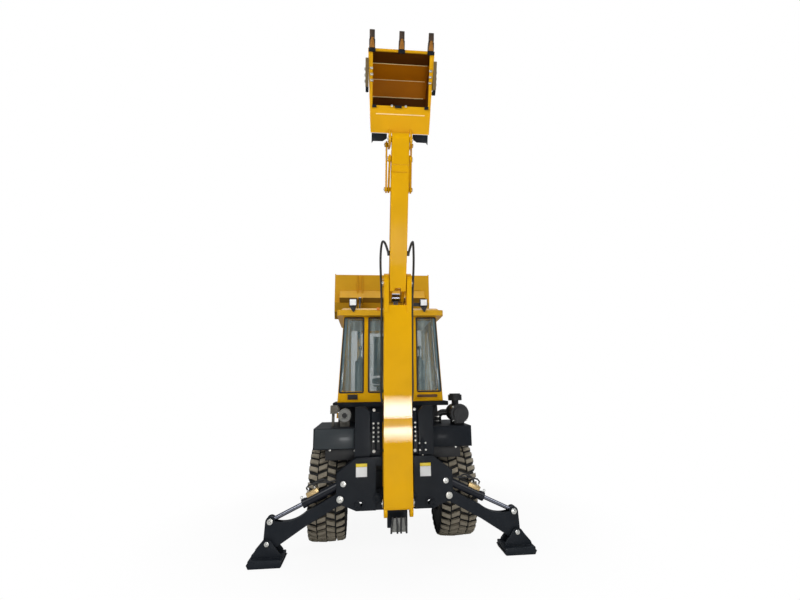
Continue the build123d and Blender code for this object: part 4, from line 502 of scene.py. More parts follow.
class Look(Enum):
    """Every finish on the machine."""

    # Enamel: name, slot, colour, worn, dusty, wear, rough, coat, gloss
    YELLOW = Enamel("yellow_enamel", "yellow_paint", PAINT, PRIMER, 0.05, 0.3, 0.4, 0.04, 0.05)
    BOOM = Enamel("boom_enamel", "yellow_paint", PAINT, PRIMER, 0.05, 0.3, 0.4, 1.0, 0.05,
                  coat_rough=0.06, polish=(1.2, 1.66))
    BUCKET = Enamel("bucket_enamel", "yellow_paint", (0.76, 0.38, 0.004), SCUFF,
                    0.08, 0.7, 0.42, 0.08, 0.12)
    # loader bucket's paint, with painted shade on its faces that look down (under)
    LOADER = Enamel("loader_enamel", "yellow_paint", (0.8, 0.41, 0.014), SCUFF,
                    0.12, 0.7, 0.42, 0.05, 0.1, under=0.95)
    # brown for the strips inside the digging bucket that face the light
    INSIDE = Enamel("bucket_inside", "yellow_paint", (0.55, 0.175, 0.003), (0.12, 0.07, 0.04),
                    0.03, 0.5, 0.5, 0.0, 0.05)
    # painted shade: the same brown made dark, for the strips and side walls inside the digging
    # bucket that face away from the light
    SHADE = Enamel("bucket_shade", "yellow_paint", (0.11, 0.034, 0.003), (0.1, 0.06, 0.03),
                   0.06, 0.4, 0.5, 0.0, 0.1)
    KHAKI = Enamel("cutter_steel", "bare_steel", (0.17, 0.12, 0.055), (0.1, 0.08, 0.06),
                   0.1, 0.6, 0.5, 0.0)
    ROOF = Enamel("roof_enamel", "roof_paint", (0.72, 0.38, 0.012), PRIMER,
                  0.2, 0.15, 0.4, 0.1, 0.15)
    CHARCOAL = Enamel("charcoal_enamel", "frame_paint", (0.01, 0.013, 0.018), (0.12, 0.125, 0.13),
                      0.08, 0.4, 0.45, 0.03, 0.12, (0.12, 0.13, 0.14))
    SATIN = Enamel("satin_charcoal", "frame_paint", (0.03, 0.038, 0.044), (0.12, 0.125, 0.13),
                   0.3, 0.4, 0.4, 0.1, 0.3, (0.16, 0.18, 0.19))
    COVER = Enamel("cover_enamel", "yellow_paint", (0.006, 0.007, 0.009), SOOT,
                   0.06, 0.3, 0.5, 0.0, 0.1, SOOT)
    RAM = Enamel("ram_enamel", "ram_paint", (0.006, 0.008, 0.014), (0.12, 0.12, 0.13),
                 0.05, 0.3, 0.3, 0.2, 0.2, (0.12, 0.12, 0.13))
    RIM = Enamel("rim_enamel", "rim_paint", (0.62, 0.6, 0.54), (0.2, 0.15, 0.1),
                 0.75, 0.5, 0.4, 0.2)
    ENGINE = Enamel("engine_enamel", "engine_iron", (0.05, 0.055, 0.06), (0.2, 0.17, 0.14),
                    0.5, 0.4, 0.5, 0.1)
    RIDGE = Enamel("tooth_ridge", "tooth_steel", (0.34, 0.14, 0.02), (0.12, 0.07, 0.04),
                   0.1, 0.8, 0.5, 0.0)
    # bare metal: name, slot, colour, stain, rough, stained, metallic
    CHROME = BareMetal("rod_chrome", "chrome_rod", (0.2, 0.21, 0.25), (0.12, 0.11, 0.1), 0.14, 0.1)
    ZINC = BareMetal("zinc_plate", "bare_steel", (0.66, 0.66, 0.63), (0.36, 0.31, 0.22), 0.3, 0.4)
    BRASS = BareMetal("valve_brass", "bare_steel", (0.6, 0.44, 0.22), (0.3, 0.22, 0.12), 0.35, 0.4)
    HEATED = BareMetal("pipe_steel", "bare_steel", (0.15, 0.145, 0.125), (0.12, 0.09, 0.06),
                       0.5, 0.6, 0.4)
    TOOTH = BareMetal("tooth_iron", "tooth_steel", (0.07, 0.05, 0.035), (0.12, 0.06, 0.03),
                      0.5, 0.6, 0.6)
    # rubber and mouldings: name, slot, colour, rough, grain
    SEAL = SoftRubber("seal_rubber", "black_plastic")
    HOSE = SoftRubber("hose_cover", "hose_rubber", (0.016, 0.016, 0.017), 0.42, 500.0)
    PLASTIC = Moulding("black_moulding", "black_plastic", (0.01, 0.01, 0.011), 0.45, 260.0)
    AMBER = Moulding("amber_lens", "black_plastic", (0.75, 0.2, 0.02), 0.15, 90.0)
    LENS = Moulding("lamp_lens", "black_plastic", (0.92, 0.93, 0.93), 0.12, 60.0)
    SHELL = Moulding("lamp_shell", "black_plastic", (0.6, 0.6, 0.58))
    # painted highlight: pale colour for bends that catch the light
    SHINE = Moulding("painted_bend_highlight", "yellow_paint", (0.95, 0.74, 0.34))
    FRIT = Moulding("glass_edge", "black_plastic", (0.1, 0.15, 0.165), 0.1, 60.0)
    SLOT = Moulding("band_slot", "yellow_paint", (0.1, 0.04, 0.006), 0.5)
    GREY = Moulding("grey_steel", "bare_steel", (0.2, 0.2, 0.185), 0.45)
    WHITE_PLATE = Moulding("plate_white", "frame_paint", (0.85, 0.85, 0.84))
    YELLOW_PLATE = Moulding("plate_yellow", "frame_paint", (0.88, 0.66, 0.02))
    TREAD = TreadRubber("tread_rubber", "tyre")
    GLASS = CabGlass("tinted_glass", "glass", (0.12, 0.19, 0.2), 0.24)
    CLOTH = SeatCloth("seat_weave", "seat_fabric")


def set_finish(node: str, look: Look) -> None:
    """Give a solid of the frame its finish.

    Args:
        node: the solid's node.
        look: its finish.
    """
    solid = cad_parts[node]
    if not solid.material_slots:
        solid.data.materials.append(look.value.material())
    for place in solid.material_slots:
        place.material = look.value.material()


# ---------------------------------------------------------------- shapes


def rounded(corners: Sequence[Flat], radius: float, steps: int = 4) -> List[Flat]:
    """Return an outline with its corners rounded.

    Args:
        corners: the outline's corners.
        radius: how far from a corner the rounding starts.
        steps: straight steps in each rounding.

    Returns:
        The points of the rounded outline.
    """
    points: List[Flat] = []
    for place, corner in enumerate(corners):
        here = Vector(corner)
        before = Vector(corners[place - 1]) - here
        after = Vector(corners[(place + 1) % len(corners)]) - here
        first = here + before.normalized() * min(radius, before.length / 2)
        last = here + after.normalized() * min(radius, after.length / 2)
        for step in range(steps + 1):
            t = step / steps
            points.append(tuple(first * (1 - t) ** 2 + here * 2 * t * (1 - t) + last * t * t))
    return points


def oblong(left: float, right: float, low: float, high: float) -> Tuple[Flat, ...]:
    """Return the corners of an upright rectangle."""
    return ((left, low), (right, low), (right, high), (left, high))


def around(count: int, radius: float, first: float = 0.0) -> List[Flat]:
    """Return points spaced evenly round a circle, the first at so many degrees."""
    turns = [math.radians(first + 360 / count * step) for step in range(count)]
    return [(radius * math.cos(turn), radius * math.sin(turn)) for turn in turns]


class Bench:
    """A mesh under construction, in millimetres from the rear axle."""

    def __init__(self, name: str = "", look: Optional[Look] = None, body: str = "chassis") -> None:
        """Start an empty mesh for a piece with this name, finish and body."""
        self.name, self.look, self.body = name, look, body
        self.mesh = bmesh.new()

    def soften(self, verts: Iterable[bmesh.types.BMVert], width: float, segments: int = 2,
               sharp: float = 30.0) -> None:
        """Bevel the sharp edges of a new shape.

        Args:
            verts: the shape's points.
            width: the bevel's width.
            segments: steps across the bevel.
            sharp: edges that turn by more than this many degrees are bevelled.
        """
        if width <= 0:
            return
        edges = {e for v in verts for e in v.link_edges}
        chosen = [e for e in edges
                  if len(e.link_faces) == 2 and e.calc_face_angle(0.0) > math.radians(sharp)]
        bmesh.ops.bevel(self.mesh, geom=chosen, offset=width, offset_type="OFFSET",
                        segments=segments, profile=0.5, affect="EDGES", material=-1,
                        clamp_overlap=True)

    def block(self, low: Point, high: Point, bevel: float = 2.0) -> None:
        """Add a softened block between two corners.

        Args:
            low: its lowest corner.
            high: its highest corner.
            bevel: its bevel.
        """
        place = Matrix.Translation((Vector(low) + Vector(high)) / 2)
        size = Matrix.Diagonal((*(Vector(high) - Vector(low)), 1.0))
        self.soften(bmesh.ops.create_cube(self.mesh, size=1.0, matrix=place @ size)["verts"], bevel)

    def cut_cube(self, size: float, cuts: int, along: str) -> List[bmesh.types.BMVert]:
        """Add a cube with some of its edges cut.

        Args:
            size: the cube's size.
            cuts: cuts in each edge.
            along: the axes whose edges are cut.

        Returns:
            The cube's points.
        """
        first = len(self.mesh.verts)
        bmesh.ops.create_cube(self.mesh, size=size)
        self.mesh.verts.ensure_lookup_table()
        chosen = []
        for edge in {e for v in self.mesh.verts[first:] for e in v.link_edges}:
            run = edge.verts[0].co - edge.verts[1].co
            if any(abs(getattr(run, axis)) > size / 2 for axis in along):
                chosen.append(edge)
        bmesh.ops.subdivide_edges(self.mesh, edges=chosen, cuts=cuts, use_grid_fill=True)
        self.mesh.verts.ensure_lookup_table()
        return self.mesh.verts[first:]

    def bar(self, start: Point, end: Point, radius: float, bevel: float = 1.5,
            sides: int = 24) -> None:
        """Add a round bar.

        Args:
            start: the middle of its first end.
            end: the middle of its other end.
            radius: its radius.
            bevel: the bevel of its ends.
            sides: its sides.
        """
        run = Vector(end) - Vector(start)
        turn = Vector((0, 0, 1)).rotation_difference(run.normalized()).to_matrix().to_4x4()
        place = Matrix.Translation((Vector(start) + Vector(end)) / 2) @ turn
        made = bmesh.ops.create_cone(self.mesh, cap_ends=True, cap_tris=False, segments=sides,
                                     radius1=radius, radius2=radius, depth=run.length,
                                     matrix=place)
        self.soften(made["verts"], bevel, 2, 50.0)

    def stud(self, at: Point, push: Point, radius: float, bevel: float = 1.5,
             sides: int = 24) -> None:
        """Add a round bar that stands at a point and reaches out by push."""
        self.bar(at, tuple(Vector(at) + Vector(push)), radius, bevel, sides)

    def bolt(self, at: Point, out: Point, size: float = 9.0) -> None:
        """Add a hexagon head on its washer, standing on a face along out.

        Args:
            at: the point of the face.
            out: the way that the face looks.
            size: the head's radius over its corners.
        """
        face, way = Vector(at), Vector(out).normalized()
        self.bar(face - way, face + way * size * 0.18, size * 1.35, 0.4, 16)
        self.bar(face, face + way * size * 0.8, size, size * 0.12, 6)

    def head(self, at: Point, out: Point, thick: float, radius: float, bevel: float, sides: int,
             size: float) -> None:
        """Add a pin's round head with a bolt in its middle.

        Args:
            at: the middle of the head's foot.
            out: the way that it faces.
            thick: the head's thickness.
            radius: the head's radius.
            bevel: the head's bevel.
            sides: the head's sides.
            size: the bolt's size.
        """
        top = tuple(Vector(at) + Vector(out) * thick)
        self.bar(at, top, radius, bevel, sides)
        self.bolt(top, out, size)

    def spun(self, profile: Sequence[Flat], centre: Point, axis: Axis, steps: int = 48) -> None:
        """Turn a profile about an axis.

        Args:
            profile: (along, radius) points.
            centre: a point on the axis.
            axis: the axis's direction.
            steps: steps in the turn.
        """
        way = Vector(axis.value)
        side = Vector((0, 0, 1)) if axis is not Axis.Z else Vector((1, 0, 0))
        verts = [self.mesh.verts.new(Vector(centre) + way * along + side * radius)
                 for along, radius in profile]
        edges = [self.mesh.edges.new((a, b)) for a, b in zip(verts, verts[1:])]
        bmesh.ops.spin(self.mesh, geom=verts + edges, cent=centre, axis=way, angle=2 * math.pi,
                       steps=steps, use_merge=True)
        bmesh.ops.remove_doubles(self.mesh, verts=self.mesh.verts[:], dist=0.01)

    def ring(self, centre: Point, axis: Axis, outer: float, inner: float, depth: float,
             steps: int = 40) -> None:
        """Add a flat ring, centred along its axis."""
        corners = oblong(-depth / 2, depth / 2, inner, outer)
        self.spun([corners[place] for place in (0, 3, 2, 1, 0)], centre, axis, steps)

    def _pushed(self, faces: List[bmesh.types.BMFace], push: Point) -> List[bmesh.types.BMVert]:
        """Extrude faces by push.

        Args:
            faces: the faces.
            push: how far and which way.

        Returns:
            The new points.
        """
        grown = bmesh.ops.extrude_face_region(self.mesh, geom=faces)
        fresh = [v for v in grown["geom"] if isinstance(v, bmesh.types.BMVert)]
        bmesh.ops.translate(self.mesh, verts=fresh, vec=push)
        return fresh

    def plate(self, outline: Sequence[Point], push: Point, bevel: float = 1.5) -> None:
        """Add a plate from its outline, made thick along push."""
        verts = [self.mesh.verts.new(p) for p in outline]
        self.soften(verts + self._pushed([self.mesh.faces.new(verts)], push), bevel)

    def frame(self, outline: Sequence[Point], width: float, push: Point,
              bevel: float = 1.5) -> None:
        """Add a flat frame.

        Args:
            outline: its outer edge.
            width: how wide it is inward.
            push: the way that it is thick.
            bevel: its bevel.
        """
        face = self.mesh.faces.new([self.mesh.verts.new(p) for p in outline])
        face.normal_update()
        rim = bmesh.ops.inset_region(self.mesh, faces=[face], thickness=width,
                                     use_even_offset=True, use_boundary=True)["faces"]
        bmesh.ops.delete(self.mesh, geom=[face], context="FACES_ONLY")
        fresh = self._pushed(rim, push)
        self.soften({v for f in rim if f.is_valid for v in f.verts} | set(fresh), bevel)

    def tube(self, path: Sequence[Point], radius: float, sides: int = 8) -> None:
        """Draw a round section along a path, with closed ends.

        Args:
            path: points on its middle line.
            radius: its radius.
            sides: its sides.
        """
        points = [Vector(p) for p in path]
        way = (points[1] - points[0]).normalized()
        turn = Vector((0, 0, 1)).rotation_difference(way).to_matrix().to_4x4()
        made = bmesh.ops.create_circle(self.mesh, cap_ends=True, segments=sides, radius=radius,
                                       matrix=Matrix.Translation(points[0]) @ turn)
        cap = [f for f in made["verts"][0].link_faces if len(f.verts) == sides]
        for place, point in enumerate(points[1:], 1):
            after = (points[min(place + 1, len(points) - 1)] - points[place - 1]).normalized()
            grown = bmesh.ops.extrude_face_region(self.mesh, geom=cap)
            ring = [v for v in grown["geom"] if isinstance(v, bmesh.types.BMVert)]
            if place > 1:
                bmesh.ops.delete(self.mesh, geom=[f for f in cap if f.is_valid],
                                 context="FACES_ONLY")
            cap = [f for f in grown["geom"] if isinstance(f, bmesh.types.BMFace)]
            bmesh.ops.translate(self.mesh, verts=ring, vec=point - points[place - 1])
            bmesh.ops.rotate(self.mesh, verts=ring, cent=point,
                             matrix=way.rotation_difference(after).to_matrix())
            way = after

    def bead(self, path: Sequence[Point], radius: float) -> None:
        """Add a weld bead along a path.

        Args:
            path: the ends of its straight runs.
            radius: its radius.
        """
        points: List[Vector] = []
        for start, end in zip(path, path[1:]):
            first, last = Vector(start), Vector(end)
            count = max(2, int((last - first).length / 60))
            points += [first.lerp(last, step / count) for step in range(count)]
        self.tube([*points, Vector(path[-1])], radius, 6)

    def done(self, *nodes: str, smooth: float = 35.0) -> bpy.types.Object:
        """Set the mesh into the frame as a piece.

        Args:
            *nodes: solids of the frame that it stands for.
            smooth: faces that meet at less than this many degrees shade smoothly.

        Returns:
            The new object.
        """
        bmesh.ops.recalc_face_normals(self.mesh, faces=self.mesh.faces[:])
        bmesh.ops.transform(self.mesh, matrix=HOUSE, verts=self.mesh.verts[:])
        data = bpy.data.meshes.new(self.name)
        self.mesh.to_mesh(data)
        self.mesh.free()
        piece = bpy.data.objects.new(self.name, data)
        bpy.context.scene.collection.objects.link(piece)
        data.materials.append(self.look.value.material())
        data.shade_smooth()
        data.set_sharp_from_angle(angle=math.radians(smooth))
        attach(piece, self.body)
        if nodes:
            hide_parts(*nodes)
        LOG.info("%s: %d faces on %s", self.name, len(data.polygons), self.body)
        return piece


def finish(*benches: Bench) -> None:
    """Set pieces that stand for no solid into the frame, in this order."""
    for bench in benches:
        bench.done()


# ---------------------------------------------------------------- sub-assemblies


@dataclass
class Wheel:
    """A wheel: tyre with block lugs, wheel nuts and hub cap."""

    name: str
    side: int
    axle_y: float
    radius: float = 537.5
    half_width: float = 205.0
    half_track: float = 740.0
    tread_r: float = 508.0
    crown: float = 14.0
    shoulder: Flat = (0.92, 11.8)  # share of the half-width where it starts, drop there
    shoulder_fall: float = 150.0
    pitches: int = 36
    columns: Tuple[Flat, ...] = ((7.0, 93.0), (110.0, 203.0))  # from and to, off the middle
    lug_slant: float = 20.0
    lug_half: Flat = (27.0, 23.5)  # half a lug's length at its foot and at its face
    foot_r: float = 440.0  # where the shoulder lugs end on the flank
    disc_face: float = 36.0
    nut_circle: float = 96.0
    nuts: int = 8
    nut: Point = (13.0, 22.0, 7.0)  # its size, its stud's reach and radius

    def _crown(self, across: float) -> float:
        """Find how far the tread drops.

        Args:
            across: the distance from the tread's middle.

        Returns:
            The drop.
        """
        share = abs(across) / self.half_width
        start, drop = self.shoulder
        if share < start:
            return self.crown * share ** 2.0
        return drop + (share - start) * self.shoulder_fall

    def _lug(self, bench: Bench, hand: int, column: Flat) -> None:
        """Add one block of a column at the top of the wheel.

        Args:
            bench: the mesh that it goes into.
            hand: which half of the tread it lies on.
            column: where it starts and ends, from the tread's middle.
        """
        verts = bench.cut_cube(1.0, 2, "x")
        slant = math.tan(math.radians(self.lug_slant)) * (1 if column is self.columns[0] else -1)
        for vert in verts:
            outer = vert.co.z > 0
            across = column[0] + (vert.co.x + 0.5) * (column[1] - column[0])
            along = vert.co.y * 2 * self.lug_half[outer] - (across - column[0]) * slant
            angle = along / self.radius
            drop = self._crown(across)
            depth = self.radius - drop if outer else self.tread_r - 10.0 - 2.0 * drop
            if across > self.half_width - 5 and not outer:
                depth = self.foot_r
            vert.co = Vector((hand * across, depth * math.sin(angle), depth * math.cos(angle)))
        bench.soften(verts, 3.0, 1, 25.0)

    def _tyre(self, body: str, centre: Vector) -> None:
        """Build the carcass with its columns of lugs, and the bead's ring.

        Args:
            body: the wheel's body.
            centre: the wheel's middle.
        """
        tyre = Bench("tread_" + self.name, Look.TREAD, body)
        for hand in SIDES:
            for place, column in enumerate(self.columns):
                row = Bench()
                self._lug(row, hand, column)
                shape = bpy.data.meshes.new("lug")
                turn = math.pi / self.pitches * ((hand > 0) + place)
                bmesh.ops.rotate(row.mesh, verts=row.mesh.verts[:], cent=(0, 0, 0),
                                 matrix=Matrix.Rotation(turn, 3, "X"))
                row.mesh.to_mesh(shape)
                row.mesh.free()
                for _ in range(self.pitches):
                    shape.transform(Matrix.Rotation(2 * math.pi / self.pitches, 4, "X"))
                    tyre.mesh.from_mesh(shape)
                bpy.data.meshes.remove(shape)
        half, tread = self.half_width, self.tread_r
        flank = ((163, 204), (163, 232), (172, 240), (186, 262), (half - 5, 310), (half, 365),
                 (half - 2, 410), (half - 14, 455), (half - 30, 482), (half - 60, tread - 12))
        profile = [(-163, 232), (-163, 204), *flank, (0, tread),
                   *((-along, radius) for along, radius in reversed(flank[1:]))]
        tyre.spun(profile, (0, 0, 0), Axis.X, 72)
        tyre.ring((0, 0, 0), Axis.X, 268, 262, 2 * half - 24, 64)
        bmesh.ops.transform(tyre.mesh, matrix=Matrix.Translation(centre), verts=tyre.mesh.verts[:])
        tyre.done("tyre_" + self.name, smooth=40.0)

    def build(self) -> None:
        """Build the tyre, the wheel nuts and the cap."""
        body = "wheel_" + self.name
        centre = Vector((self.side * self.half_track, self.axle_y, self.radius))
        self._tyre(body, centre)
        nuts = Bench("wheel_nuts_" + self.name, Look.ZINC, body)
        cap = Bench("hub_cap_" + self.name, Look.CHARCOAL, body)
        face = centre.x + self.side * self.disc_face
        size, reach, radius = self.nut
        for y, z in around(self.nuts, self.nut_circle, 180 / self.nuts):
            spot = (face, centre.y + y, centre.z + z)
            nuts.bolt(spot, (self.side, 0, 0), size)
            nuts.stud(spot, (self.side * reach, 0, 0), radius, 1, 12)
        cap.spun([(self.side * along, radius) for along, radius in
                  ((0, 62), (6, 70), (36, 68), (46, 50), (48, 0.01))],
                 (face, centre.y, centre.z), Axis.X, 32)
        finish(nuts, cap)


@dataclass
class Cab:
    """The cab's seals, lamps, plates, handles and seat."""

    rear_y: float = 40.0
    panes: Tuple[Tuple[float, float, int], ...] = (  # left, right, the corner that it reaches
        (-618, -352, -1), (-284, 290, 0), (346, 618, 1))
    sill_z: float = 1690.0
    head_z: float = 2638.0
    lean: float = 0.056949
    floor_z: float = 1180.0
    half_floor: float = 697.0
    deck_z: float = 1557.0
    seat_y: float = 430.0
    lever: Flat = (395.0, 165.0)
    rail_y: float = 1154.0
    rail_zs: Flat = (1380.0, 1860.0)
    lamps: Tuple[Tuple[float, float, int], ...] = (  # x, the roof's edge, the way it faces
        (-493, -50, -1), (437, -50, -1), (-560, 1205, 1), (560, 1205, 1))
    lamp_z: float = 2775.0

    def side_x(self, z: float, inset: float = 0.0) -> float:
        """Return the half-width of the leaning sides at a height."""
        return self.half_floor - (z - self.floor_z) * self.lean - inset

    def _rear_seals(self) -> None:
        """Build the black rubber round the rear panes, which reach the cab's corners."""
        seals = Bench("rear_window_seals", Look.SEAL)
        edges = Bench("rear_window_corners", Look.FRIT)
        for left, right, corner in self.panes:
            low, high = ((-wide if corner < 0 else left - 8, wide if corner > 0 else right + 8)
                         for wide in (self.side_x(self.sill_z, 5), self.side_x(self.head_z, 5)))
            outline = ((low[0], self.sill_z - 22), (low[1], self.sill_z - 22),
                       (high[1], self.head_z + 8), (high[0], self.head_z + 8))
            seals.frame([(x, self.rear_y - 8, z) for x, z in rounded(outline, 26)],
                        19, (0, 9, 0), 2.5)
            if corner:
                edges.plate([(corner * self.side_x(z, inset), self.rear_y - 5, z) for z, inset in
                             ((self.sill_z, 52), (self.sill_z, 15),
                              (self.head_z, 15), (self.head_z, 52))], (0, 4, 0), 1)
        finish(seals, edges)

    def _side_seals(self) -> None:
        """Build the seals of the fixed side panes."""
        seals = Bench("side_window_seals", Look.SEAL)
        for side in SIDES:
            seals.frame([(side * self.side_x(z, -3), y, z) for y, z in
                         rounded(oblong(142, 508, 1692, 2618), 36)], 26, (-side * 8, 0, 0), 2.5)
        finish(seals)

    def _band(self) -> None:
        """Build the blank black plate and the rounded slot in the band under the rear windows."""
        plate, rim = Bench("band_plate", Look.SEAL), Bench("band_plate_rim", Look.SLOT)
        slot, lip = Bench("band_slot", Look.SLOT), Bench("band_trim", Look.YELLOW)
        plate.block((-548, 33, 1590), (-422, 40, 1652), 3)
        slot.plate([(x, 36, z) for x, z in rounded(oblong(338, 606, 1602, 1640), 20)],
                   (0, 4.5, 0), 1.5)
        rim.frame([(x, 31, z) for x, z in oblong(-549, -421, 1589, 1653)], 7, (0, 8, 0), 1.5)
        lip.frame([(x, 33, z) for x, z in rounded(oblong(330, 614, 1594, 1648), 26)],
                  9, (0, 7, 0), 2)
        finish(plate, slot, rim, lip)

    def _lamps(self) -> None:
        """Build the work lamps' frames, lenses and brackets and the small lamp between them."""
        shells, lenses = Bench("lamp_frames", Look.PLASTIC), Bench("lamp_lenses", Look.LENS)
        holders, glow = Bench("lamp_holders", Look.PLASTIC), Bench("number_lamp", Look.AMBER)
        base = self.lamp_z
        for x, edge, facing in self.lamps:
            front = edge + facing * 28
            corners = rounded(oblong(x - 50, x + 50, base, base + 98), 10)
            shells.frame([(a, front + facing * 5, b) for a, b in corners],
                         9, (0, -facing * 14, 0), 2)
            inner = rounded(oblong(x - 42, x + 42, base + 8, base + 90), 6)
            lenses.plate([(a, front + facing * 3, b) for a, b in inner], (0, -facing * 5, 0), 1.5)
            for row in range(5):
                lenses.stud((x - 36, front + facing * 3, base + 17 + row * 16), (72, 0, 0),
                            2, 0.5, 8)
            if facing < 0:
                holders.plate([(x + a, edge - 22, base + b) for a, b in
                               ((-46, -4), (46, -4), (22, -66), (-6, -66))], (0, 16, 0), 2)
                holders.stud((x + 8, edge - 30, base - 58), (0, 22, 0), 16, 2, 20)
        holders.block((302, -62, 2776), (392, -50, 2822), 4)
        glow.stud((-164, -66, 2741), (0, 17, 0), 22, 3, 24)
        finish(shells, lenses, holders, glow)

    def _handles(self) -> None:
        """Build the grab rails beside the doors."""
        rails = Bench("grab_rails", Look.CHARCOAL)
        low, high = self.rail_zs
        for side in SIDES:
            rails.tube([(side * (self.side_x(end) + out), self.rail_y, end + rise)
                        for end, out, rise in ((low, 0, 0), (low, 46, 14), (low, 52, 60),
                                               (high, 52, -60), (high, 46, -14), (high, 0, 0))],
                       10, 12)
        finish(rails)

    def _interior(self) -> None:
        """Build the lever boots and knobs and the head lining."""
        boots, knobs = Bench("lever_boots", Look.SEAL), Bench("lever_knobs", Look.PLASTIC)
        lining = Bench("head_lining", Look.SHELL)
        for side in SIDES:
            foot = (side * self.lever[0], self.lever[1])
            boots.spun(((0, 46), (10, 44), (16, 34), (26, 38), (34, 26), (44, 29), (52, 16),
                        (64, 11)), (*foot, 2080), Axis.Z, 24)
            knobs.spun(((-2, 10), (6, 20), (26, 25), (44, 22), (54, 10), (57, 0.01)),
                       (*foot, 2222), Axis.Z, 24)
        lining.block((-540, 110, 2592), (540, 1040, 2606), 4)
        finish(boots, knobs, lining)

    def _seat(self) -> None:
        """Build the seat's cushion and back, crowned, with sewn channels."""
        pads = Bench("seat_cushions", Look.CLOTH)
        y, low = self.seat_y, self.deck_z + 212
        self._pad(pads, (-232, y - 186, low), (232, y + 246, low + 104), 2)
        self._pad(pads, (-222, y - 205, low + 114), (222, y - 110, low + 645), 1)
        pads.done("seat_pads", smooth=60.0)
        piping = Bench("seat_piping", Look.SEAL)
        for rise in (250, 390, 530):
            piping.tube([(x, y - out, low + rise) for x, out in
                         ((-205, 107), (0, 103), (205, 107))], 4)
        finish(piping)

    @staticmethod
    def _pad(bench: Bench, low: Point, high: Point, crown_axis: int) -> None:
        """Add a crowned pad whose sides pull in between its corners.

        Args:
            bench: the mesh that it goes into.
            low: its lowest corner.
            high: its highest corner.
            crown_axis: number of the axis that it swells along.
        """
        middle, half = (Vector(low) + Vector(high)) / 2, (Vector(high) - Vector(low)) / 2
        across = [axis for axis in range(3) if axis != crown_axis]
        for vert in bench.cut_cube(2.0, 9, "xyz"):
            spot = vert.co.copy()
            swell = (1 - spot[across[0]] ** 2) * (1 - spot[across[1]] ** 2)
            for axis, other in (across, across[::-1]):
                spot[axis] *= 0.985 - 0.02 * (1 - spot[other] ** 2)
            rim = max(abs(spot[across[0]]), abs(spot[across[1]])) ** 6
            spot[crown_axis] *= (0.8 + 0.2 * swell) * (1 - 0.35 * rim)
            vert.co = middle + spot * half

    def build(self) -> None:
        """Build every piece of the cab."""
        self._rear_seals()
        self._side_seals()
        self._band()
        self._lamps()
        self._handles()
        self._interior()
        self._seat()


